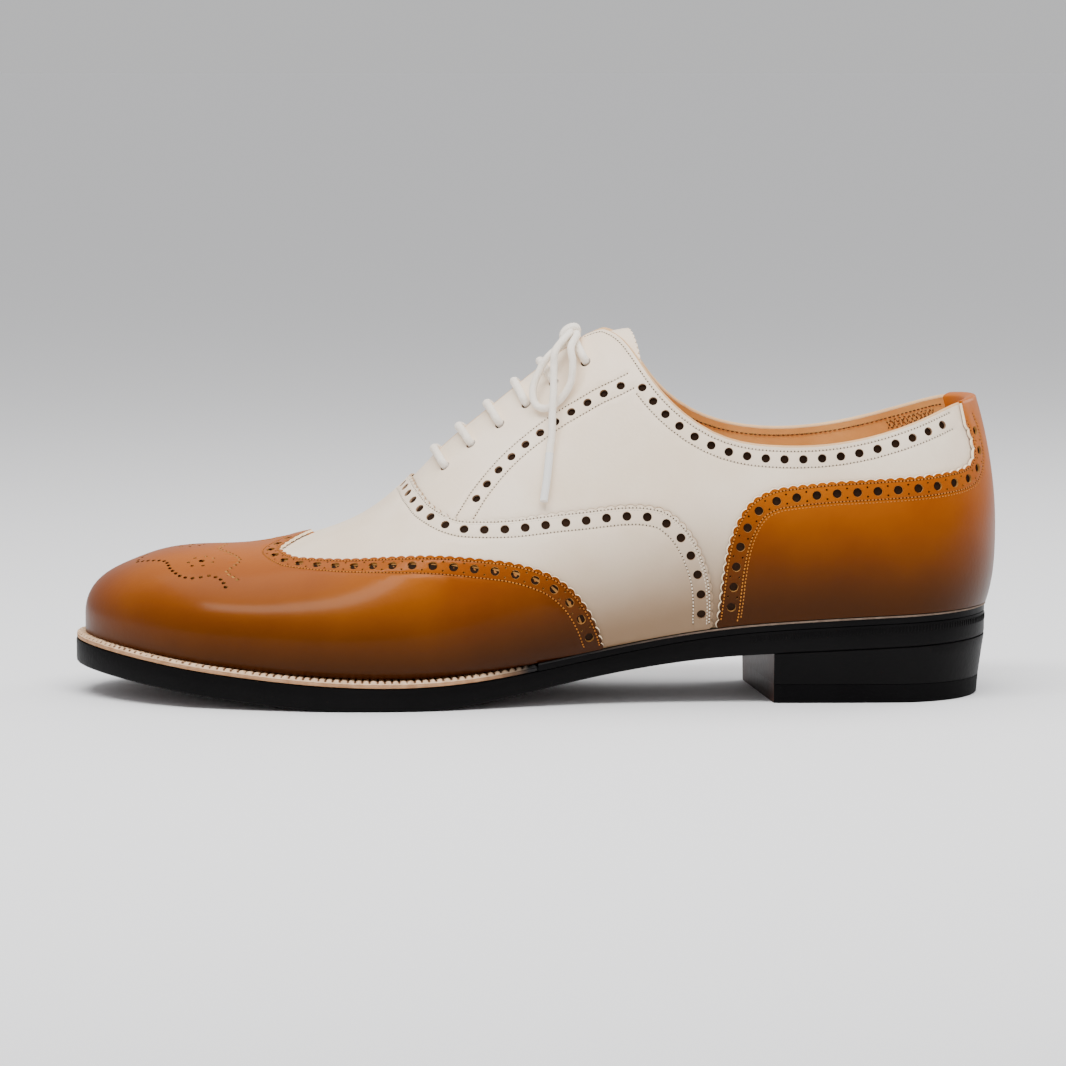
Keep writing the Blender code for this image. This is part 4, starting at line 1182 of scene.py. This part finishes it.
# scrolls of the toe ornament: millimetres ahead of run 0.83 along the ridge, and across it
SCROLLS = [
    [(15.5, 3.0), (15.8, 9.0), (12.4, 12.5), (6.5, 18.3), (4.0, 25.0), (0.5, 31.0), (-3.6, 33.6),
     (-7.0, 33.2), (-10.8, 36.2), (-12.6, 40.5)],
    [(-16.0, 37.4), (-12.3, 32.0), (-14.5, 28.0), (-15.6, 23.0), (-11.5, 15.5), (-8.0, 9.5), (-9.5, 3.0)],
]


def medallion():
    """A traditional punched ornament on the toe: a rosette with a scroll to each side."""
    spots = [(2.0, 0.0, 1.1)]
    for k in range(8):
        turn = 2 * math.pi * k / 8
        spots.append((2.0 + 4.0 * math.cos(turn), 4.0 * math.sin(turn), 0.62))
    for side in (-1, 1):
        spots.append((-4.0, side * 22.4, 1.05))
        for k in range(7):
            turn = 2 * math.pi * k / 7
            spots.append((-4.0 + 3.7 * math.cos(turn), side * (22.4 + 3.9 * math.sin(turn)), 0.6))
        for scroll in SCROLLS:
            line = smooth_path([(x, side * y, 0) for x, y in scroll], 2.35)
            spots += [(x, y, 0.72) for x, y, _ in line]
    holes, kept = [], []
    for x, y, radius in spots:
        if all(math.hypot(x - a, y - b) > radius + c + 0.35 for a, b, c in kept):
            kept.append((x, y, radius))
            holes.append(circle(on_toe(x * MM, y * MM), radius * MM, 10))
    return holes


def add_counter():
    halves = []
    for side in (LATERAL, MEDIAL):
        path = mirrored(counter_edge) if side == MEDIAL else counter_edge
        foot = on_side_of(side, 0.0)
        loops = []
        for inset in (0.28 * MM, 0.0):
            edge = pinked(even(path, PINK_PITCH / 10), side * counter_side, inset=inset)
            edge[0, 1] = foot
            collar = np.array([(run, collar_rise(side, run)) for run in np.linspace(edge[-1, 0], 0, 14)])
            edge[-1] = collar[0]
            loops.append(joined(edge, collar[1:], centre_line(0.0, collar[-1, 1], foot),
                                foot_line(0.0, edge[0, 0], foot)))
        halves.append(tuple(loops))
    holes, pins, marks = edge_work(counter_edge, counter_side, 3.9 * MM, (1.15 * MM, 6.6 * MM, 7.5 * MM),
                                   (0, 1), "tan", counter_high)
    add_overlay("counter_leather", "heel_counter", halves, holes + pins, marks,
                counter_low, counter_high, (TAN, RAW, TAN_RAW, HOLE_WALL_SHADE))


def plan_point(side, run, margin):
    """A place on the foot line, moved out level by a margin."""
    point = foot_point(side, run) + ORIGIN
    return point + outward(side, run) * margin


def sole_top(share):
    return SOLE_THICKNESS + tread_z(share)


def sole_bottom(share):
    lowest = sole_top(share) - SOLE_THICKNESS * edge_thickness(share) - SEAT_DROP
    return max(float(lowest), 0.0)


def faded_welt(name, dark, light, start=-0.131, end=-0.114):
    """Natural leather that goes to black along the shoe: the welt's real stain past the ball, and also
    painted shade in the welt's notches and a painted highlight on the heel seat's ledge.
    """
    material, tree, shader = nodes_for(name)
    place = tree.nodes.new("ShaderNodeTexCoord").outputs["Object"]
    at = step_of(tree, "SeparateXYZ", {"Vector": place})
    cloud = step_of(tree, "TexNoise", {"Scale": 420, "Detail": 5, "Vector": place})["Fac"]
    wood = two_tones(tree, cloud, dark, light, 0.3, 0.7)
    reach = step_of(tree, "MapRange", {"From Min": start, "From Max": end, "Value": at["X"]})
    stained = step_of(tree, "Mix", {"Factor": reach["Result"], "A": wood, "B": (0.004, 0.003, 0.003, 1)},
                      data_type="RGBA")
    bump = step_of(tree, "Bump", {"Strength": 0.4, "Distance": BUMP_HEIGHT, "Height": cloud})
    fill(tree, shader, {"Base Color": stained["Result"], "Normal": bump["Normal"],
                        "Roughness": 0.62, "Specular IOR Level": 0.3})
    return material


STAINED_WELT = faded_welt("welt_stained_at_waist", (0.58, 0.36, 0.20), (0.80, 0.56, 0.36))
LOW_WELT = faded_welt("welt_lower_half", (0.36, 0.18, 0.085), (0.52, 0.29, 0.15))
# painted shade: the welt's top darkened in the notches between the wheeled beads
NOTCH_SHADE = faded_welt("welt_notch_painted_shade", (0.10, 0.042, 0.018), (0.16, 0.072, 0.032))
# painted highlight: a lighter brown on the heel rand's top ledge, fading to black toward the waist, for the
# lit line along the heel seat
SEAT_HIGHLIGHT = faded_welt("seat_ledge_painted_highlight", (0.10, 0.065, 0.045), (0.18, 0.125, 0.09), -0.050, -0.095)


def add_wheel_marks():
    """Short upright marks of the fudge wheel round the heel seat."""
    marks = []
    for side in (LATERAL, MEDIAL):
        for k in range(int(0.285 * RUN / WHEEL_PITCH)):
            run = 0.004 * RUN + k * WHEEL_PITCH
            share = along(run)[0] / LAST_LENGTH
            x, y, _ = plan_point(side, run, edge_margin(share) * WELT_MARGIN - 0.02 * MM)
            normal = outward(side, run)
            marks.append((np.array([x, y, sole_top(share_of(x)) - 1.9 * MM]), np.array([0, 0, 1.0]),
                          normal, 1.0 * MM, 0.26 * MM))
    hand_over(capsules("wheel_marks", marks, BLACK))


def sole_margin(inset=0.0):
    return lambda share: edge_margin(share) * WELT_MARGIN - inset


def share_of(x):
    """The share of the last's length at a place along the shoe."""
    return -(x - ORIGIN[0]) / LAST_LENGTH


def plate(name, layers, materials, slots, count=110):
    """A solid from closed loops; slots name the material of each side band, bottom cap and top cap."""
    runs = [RUN * k / count for k in range(count + 1)]
    points, loops = [], []
    for margin, height in layers:
        loop = []
        for side in (LATERAL, MEDIAL):
            for run in runs if side == LATERAL else runs[-2:0:-1]:
                x, y, _ = plan_point(side, run, margin(along(run)[0] / LAST_LENGTH))
                loop.append(len(points))
                points.append((x, y, height(share_of(x))))
        loops.append(loop)
    return closed_loops(name, points, loops, materials, slots)


def closed_loops(name, points, loops, materials, slots):
    """A solid from stacked loops of as many points, with its bottom and top closed across."""
    faces, kinds = [], []
    count = len(loops[0])
    for band, (low, high) in enumerate(zip(loops, loops[1:])):
        for k in range(count):
            n = (k + 1) % count
            faces.append((low[k], high[k], high[n], low[n]))
            kinds.append(slots[band])
    half = count // 2
    for loop, up in ((loops[0], False), (loops[-1], True)):
        for k in range(half + 1):
            face = [loop[k], loop[(k + 1) % count], loop[(count - k - 1) % count], loop[(count - k) % count]]
            face = [place for i, place in enumerate(face) if place not in face[:i]]
            if len(face) > 2:
                faces.append(tuple(face[::-1]) if up else tuple(face))
                kinds.append(slots[-1] if up else slots[-2])
            if k + 1 >= count - k - 1:
                break
    points = np.array(points)
    return mesh_object(name, points, turned_out(points, faces), kinds, 30, materials)


def add_soles():
    def band(fraction, lift):
        return lambda share: sole_bottom(share) + (sole_top(share) - sole_bottom(share)) * fraction + lift

    outsole = plate("outsole_leather", [
        (sole_margin(0.45 * MM), sole_bottom),
        (sole_margin(0.10 * MM), band(0.0, 0.40 * MM)),
        (sole_margin(0.0), band(0.0, 1.1 * MM)),
        (sole_margin(0.0), band(1.0, -0.45 * MM)),
        (sole_margin(0.12 * MM), band(1.0, -0.12 * MM)),
        (sole_margin(0.5 * MM), sole_top),
    ], (BLACK, BROWN), [0, 0, 0, 0, 0, 1, 0])
    hand_over(outsole, "outsole")
    join = WELT_END * RUN
    welt = strip("welt_leather", join + FIT_GAP / 2, RUN, STAINED_WELT, True)
    hand_over(welt, "welt")
    rand = strip("rand_leather", join - FIT_GAP / 2, 0.0, BLACK, False)
    hand_over(rand, "heel_rand")


def strip(name, start, end, material, wheeled):
    """A band along the foot line, rounded outside; the welt's top edge is wheeled into beads."""
    first = np.linspace(start, end, int(abs(end - start) / ((0.37 if wheeled else 1.5) * MM)))
    path = [(LATERAL, run) for run in first]
    path += [(MEDIAL, run) for run in first[::-1] if abs(along(run)[1]) > 1e-6]
    low, high = FIT_GAP, FIT_GAP + WELT_THICKNESS
    points, kinds, beads, travelled = [], [], [], 0.0
    before = None
    for side, run in path:
        share = along(run)[0] / LAST_LENGTH
        outer = edge_margin(share) * WELT_MARGIN
        place = plan_point(side, run, outer)
        if before is not None:
            travelled += np.linalg.norm((place - before)[:2])
        before = place
        bead = abs(math.sin(math.pi * travelled / BEAD_PITCH))**0.8 * BEAD_HEIGHT
        beads.append(bead)
        if wheeled:
            outer -= 0.15 * MM
            profile = (
                (-WELT_INSET, low), (outer - 0.25 * MM, low), (outer - 0.05 * MM, low + 0.25 * MM),
                (outer - 0.05 * MM, low + 1.0 * MM), (outer - 0.22 * MM, low + 1.12 * MM),
                (outer - 0.05 * MM, low + 1.24 * MM), (outer - 0.25 * MM, high - 0.95 * MM + bead * 0.5),
                (outer - 0.9 * MM, high - 0.75 * MM + bead),
                (outer - 1.7 * MM, high - 0.60 * MM + bead * 0.5), (-WELT_INSET, high - 0.02 * MM),
            )
        else:
            profile = (
                (-WELT_INSET, low), (outer - 0.12 * MM, low - 0.2 * MM), (outer, low - 0.12 * MM),
                (outer, low + 0.7 * MM), (outer, high - 1.1 * MM), (outer, high - 0.62 * MM),
                (outer + 0.38 * MM, high - 0.5 * MM), (outer + 0.38 * MM, high - 0.12 * MM),
                (outer + 0.1 * MM, high), (-WELT_INSET, high - 0.02 * MM),
            )
        for margin, height in profile:
            x, y, _ = plan_point(side, run, margin)
            points.append((x, y, sole_top(share_of(x)) + height))
    corners = len(profile)
    for k in range(len(path) - 1):
        notched = beads[k] + beads[k + 1] < BEAD_HEIGHT
        for c in range(corners):
            if wheeled:
                kinds.append(2 if c in (1, 2, 3) else 3 * int(c > 5 and notched))
            else:
                kinds.append(int(c in (5, 6, 7)))
    points = np.array(points)
    faces = turned_out(points, swept_faces(len(path), corners))
    return mesh_object(name, points, faces, [*kinds, 0, 0], 45, (material, SEAT_HIGHLIGHT, LOW_WELT, NOTCH_SHADE))


def heel_loop(inset, height, count=60):
    """A level loop round the heel, from breast to breast."""
    loop = []
    for side in (LATERAL, MEDIAL):
        breast = HEEL_LENGTH + (HEEL_SKEW if side == MEDIAL else 0)
        for k in range(count + 1) if side == LATERAL else range(count, 0, -1):
            part = k / count
            run = part * (HEEL_ARC + breast - HEEL_ROUND)
            share = along(run)[0] / LAST_LENGTH
            corner = max(0.0, (part - 0.985) / 0.015) * 0.5 * MM
            x, y, _ = plan_point(side, run, edge_margin(share) * WELT_MARGIN - inset - corner)
            loop.append((x, y, height if isinstance(height, float) else height(share_of(x))))
    return loop


def add_heel():
    def seat(share):
        return sole_bottom(share) - FIT_GAP

    upright = HEEL_TAPER * 0.8
    for name, node, material, slot, layers in (
        ("top_piece", "heel_top_piece", RUBBER, "heel_rubber", [
            (HEEL_TAPER + 0.45 * MM, 0.0), (HEEL_TAPER + 0.02 * MM, 0.4 * MM),
            (upright, TOP_PIECE + 0.02 * MM), (upright + 0.12 * MM, TOP_PIECE + 0.1 * MM)]),
        ("stacked_heel", "heel_stack", BLACK, "sole_edge", [
            (upright + 0.12 * MM, TOP_PIECE + 0.14 * MM), (upright, TOP_PIECE + 0.25 * MM),
            (HEEL_TAPER * 0.3, 15 * MM), (0.05 * MM, seat),
            (0.12 * MM, lambda share: seat(share) + 0.2 * MM)]),
    ):
        points, loops = [], []
        for inset, height in layers:
            loop = heel_loop(inset, height)
            loops.append([len(points) + k for k in range(len(loop))])
            points += loop
        piece = closed_loops(name, points, loops, (material, BROWN), [0] * (len(layers) + 1))
        breast = ORIGIN[0] - HEEL_LENGTH
        for face in piece.data.polygons:
            if face.normal.x < -0.9 and face.center.x < breast + 6 * MM:
                face.material_index = 1
        hand_over(piece, node)


TONGUE_EDGE = [
    (0.6800, 1.000), (0.6700, 0.860), (0.6400, 0.790), (0.5800, 0.745), (0.5000, 0.735),
    (0.4500, 0.735), (0.4100, 0.740), (0.3920, 0.765), (0.3930, 0.850), (0.4020, 1.000),
]


def add_tongue():
    edge = even(smooth_line(TONGUE_EDGE, 10), 0.8 * MM)
    edge = pinked(edge, -leather_side(edge, (0.5, 0.95)), 2.6 * MM, 0.8 * MM)
    edge[0, 1] = 1.0
    edge[-1, 1] = 1.0
    outline = joined(edge, mirrored(edge)[::-1])
    high = -UPPER_DEPTH - WALL - SKIN_GAP
    piece = skin("tongue_leather", [outline], [], [], high - TONGUE_THICKNESS, high,
                 (IVORY, RAW, LINING), 3 * MM)
    hand_over(piece, "tongue")


def smooth_path(points, step):
    """A rounded line through points in space, at about equal steps."""
    path = rounded(points, 12)
    reached = distances(path)
    return read_at(np.linspace(0, reached[-1], max(2, round(reached[-1] / step)) + 1), reached, path)


def cord_curve(name, path, radius, material, resolution=5):
    """A round cord along a path."""
    curve = bpy.data.curves.new(name, "CURVE")
    curve.dimensions = "3D"
    curve.bevel_depth = radius
    curve.bevel_resolution = resolution
    curve.use_fill_caps = True
    cord = curve.splines.new("POLY")
    cord.points.add(len(path) - 1)
    for point, (x, y, z) in zip(cord.points, path):
        point.co = (x, y, z, 1)
    cord.use_smooth = True
    curve.materials.append(material)
    return placed(name, curve)


def over_upper(places, heights):
    """Points over the upper's outside, at heights in lace radii."""
    return on_last(places, FIT_GAP - UPPER_DEPTH + LACE_RADIUS * np.asarray(heights))


def on_side(side, rows):
    """A table's places on one side of the upper, at its heights."""
    return over_upper([(run, on_side_of(side, rise)) for run, rise, _ in rows], [row[2] for row in rows])


def add_lace():
    for number, (run, rise, crown) in enumerate(BARS, 1):
        turns = np.concatenate([[-1.0, -0.995, -0.97], np.linspace(-0.93, 0.93, 21), [0.97, 0.995, 1.0]])
        heights = np.concatenate([[-1.0, 0.0, 0.55], np.full(21, 0.9), [0.55, 0.0, -1.0]])
        places = [(crown + (run - crown) * abs(t)**1.5, 1 + (1 - rise) * t) for t in turns]
        path = smooth_path(over_upper(places, heights), 0.8 * MM)
        piece = cord_curve(f"lace_crossing_{number}", path, FAT_LACE, LACE)
        hand_over(piece, f"lace_bar_{number}")
    middle = over_upper([(KNOT_RUN, 1.0)], [KNOT_HEIGHT])[0] + (0, 0, FIT_GAP)
    ahead = on_last((KNOT_RUN + 0.01, 1.0))[0] - on_last((KNOT_RUN - 0.01, 1.0))[0]
    ahead[1] = 0
    ahead = unit(ahead)
    over = np.array([ahead[2], 0, -ahead[0]])
    across = np.array([0, 1.0, 0])
    middle = middle - over * 0.5 * LACE_RADIUS - ahead * 1.3 * LACE_RADIUS
    turns = np.linspace(-0.30, 2.70, 80) * 2 * math.pi
    wrap = [middle + LACE_RADIUS * (ahead * 2.05 * math.cos(t) + over * 1.15 * math.sin(t)
            + across * 0.30 * (t - math.pi * 2.4)) for t in turns]
    knot = cord_curve("knot_wrap", smooth_path(wrap, 0.5 * MM), FAT_LACE, LACE)
    hand_over(knot, "bow_knot")

    def leaving(side, *shares):
        """Places near the knot: ahead, across and over its middle, in lace radii."""
        return [middle + LACE_RADIUS * (ahead * a + across * side * b + over * c) for a, b, c in shares]

    ends, loops = [], []
    for side, word in ((LATERAL, "lateral"), (MEDIAL, "medial")):
        path = smooth_path([*leaving(side, (0.6, 0.4, -0.6), (1.2, 4.1, -1.2)), *on_side(side, LOOP),
                            *leaving(side, (-1.3, 4.1, -1.2), (-0.6, 0.4, -0.6))], 0.7 * MM)
        loop = cord_curve(f"loop_{word}", path, LACE_RADIUS, LACE)
        hand_over(loop, f"bow_loop_{word}")
        whole = smooth_path([*leaving(side, (0.0, 0.4, 0.2), (0.1, 3.6, 0.2)), *on_side(side, END)],
                            0.5 * MM)
        split = len(whole) - round(AGLET_LENGTH / (0.5 * MM))
        end = cord_curve(f"end_{word}", whole[:split + 4], LACE_RADIUS, LACE)
        tip = cord_curve(f"tip_{word}", whole[split:], AGLET_RADIUS * 0.93, AGLET, 6)
        hand_over(end, f"lace_end_{word}")
        hand_over(tip, f"aglet_{word}")
        ends.append((end, whole[:split + 4], [tip, knot] if side == LATERAL else [tip]))
        loops.append((loop, path))


def add_stitches():
    for kind, thread, needle, slot in (
        ("ivory", IVORY_THREAD, IVORY_NEEDLE_SHADE, "lace_cotton"),
        ("dark", DARK_THREAD, IVORY_NEEDLE_SHADE, "lining_leather"),
        ("tan", TAN_THREAD, TAN_NEEDLE_SHADE, "tan_leather"),
    ):
        hand_over(capsules(f"stitches_{kind}", stitch_sets[kind], thread))
        hand_over(dots(f"needle_hole_shade_{kind}", needle_sets[kind], needle))


def add_setting():
    lens = bpy.data.cameras.new("camera")
    lens.sensor_width = 36
    lens.lens = lens.sensor_width * CAMERA_DISTANCE / PICTURE_WIDTH
    lens.clip_start = 0.05
    camera = placed("camera", lens)
    toward = np.array([0, -math.cos(CAMERA_TILT), math.sin(CAMERA_TILT)])
    camera.location = np.array(CAMERA_AIM) + ORIGIN + CAMERA_DISTANCE * toward
    camera.rotation_euler = (math.pi / 2 - CAMERA_TILT, 0, 0)
    bpy.context.scene.camera = camera
    ground = bpy.data.meshes.new("floor")
    far = 60.0
    ground.from_pydata([(-far, -far, 0), (far, -far, 0), (far, far, 0), (-far, far, 0)], [],
                       [(0, 1, 2, 3)])
    floor = placed("floor", ground)
    material, tree, shader = nodes_for("pale_floor")
    fill(tree, shader, {"Base Color": (0.90, 0.90, 0.91, 1), "Roughness": 0.7, "Specular IOR Level": 0.2})
    ground.materials.append(material)
    for name, place, size, power, target in (
        ("key", (-0.17, -0.40, 0.95), (1.1, 0.26), 14.0, (-0.12, 0, 0.05)),
        ("top", (-0.10, 0.20, 0.95), (1.3, 0.6), 5.0, (-0.12, 0, 0.04)),
        ("rear", (0.75, 0.55, 0.55), (0.5, 0.5), 3.5, (-0.05, 0, 0.05)),
        ("fill", (-0.2, -1.6, 0.55), (1.2, 0.8), 1.0, (-0.12, 0, 0.05)),
    ):
        lamp = bpy.data.lights.new(name, "AREA")
        lamp.shape = "RECTANGLE"
        lamp.size, lamp.size_y = size
        lamp.energy = power
        thing = placed(name, lamp)
        thing.location = place
        thing.rotation_euler = (Vector(target) - Vector(place)).to_track_quat("-Z", "Y").to_euler()
    world = bpy.context.scene.world or bpy.data.worlds.new("world")
    bpy.context.scene.world = world
    world.use_nodes = True
    tree = world.node_tree
    direction = tree.nodes.new("ShaderNodeTexCoord").outputs["Generated"]
    height = step_of(tree, "SeparateXYZ", {"Vector": direction})["Z"]
    sky = two_tones(tree, height, (0.81, 0.81, 0.82), (0.90, 0.90, 0.91), 0.0, 0.3)
    fill(tree, tree.nodes["Background"], {"Strength": 0.78, "Color": sky})


add_setting()
add_lace()
add_quarters()
add_vamp()
add_wing()
add_counter()
add_tongue()
add_soles()
add_heel()
add_wheel_marks()
add_stitches()
add_hole_floors()
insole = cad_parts["insole"].data
insole.materials.clear()
insole.materials.append(LINING)
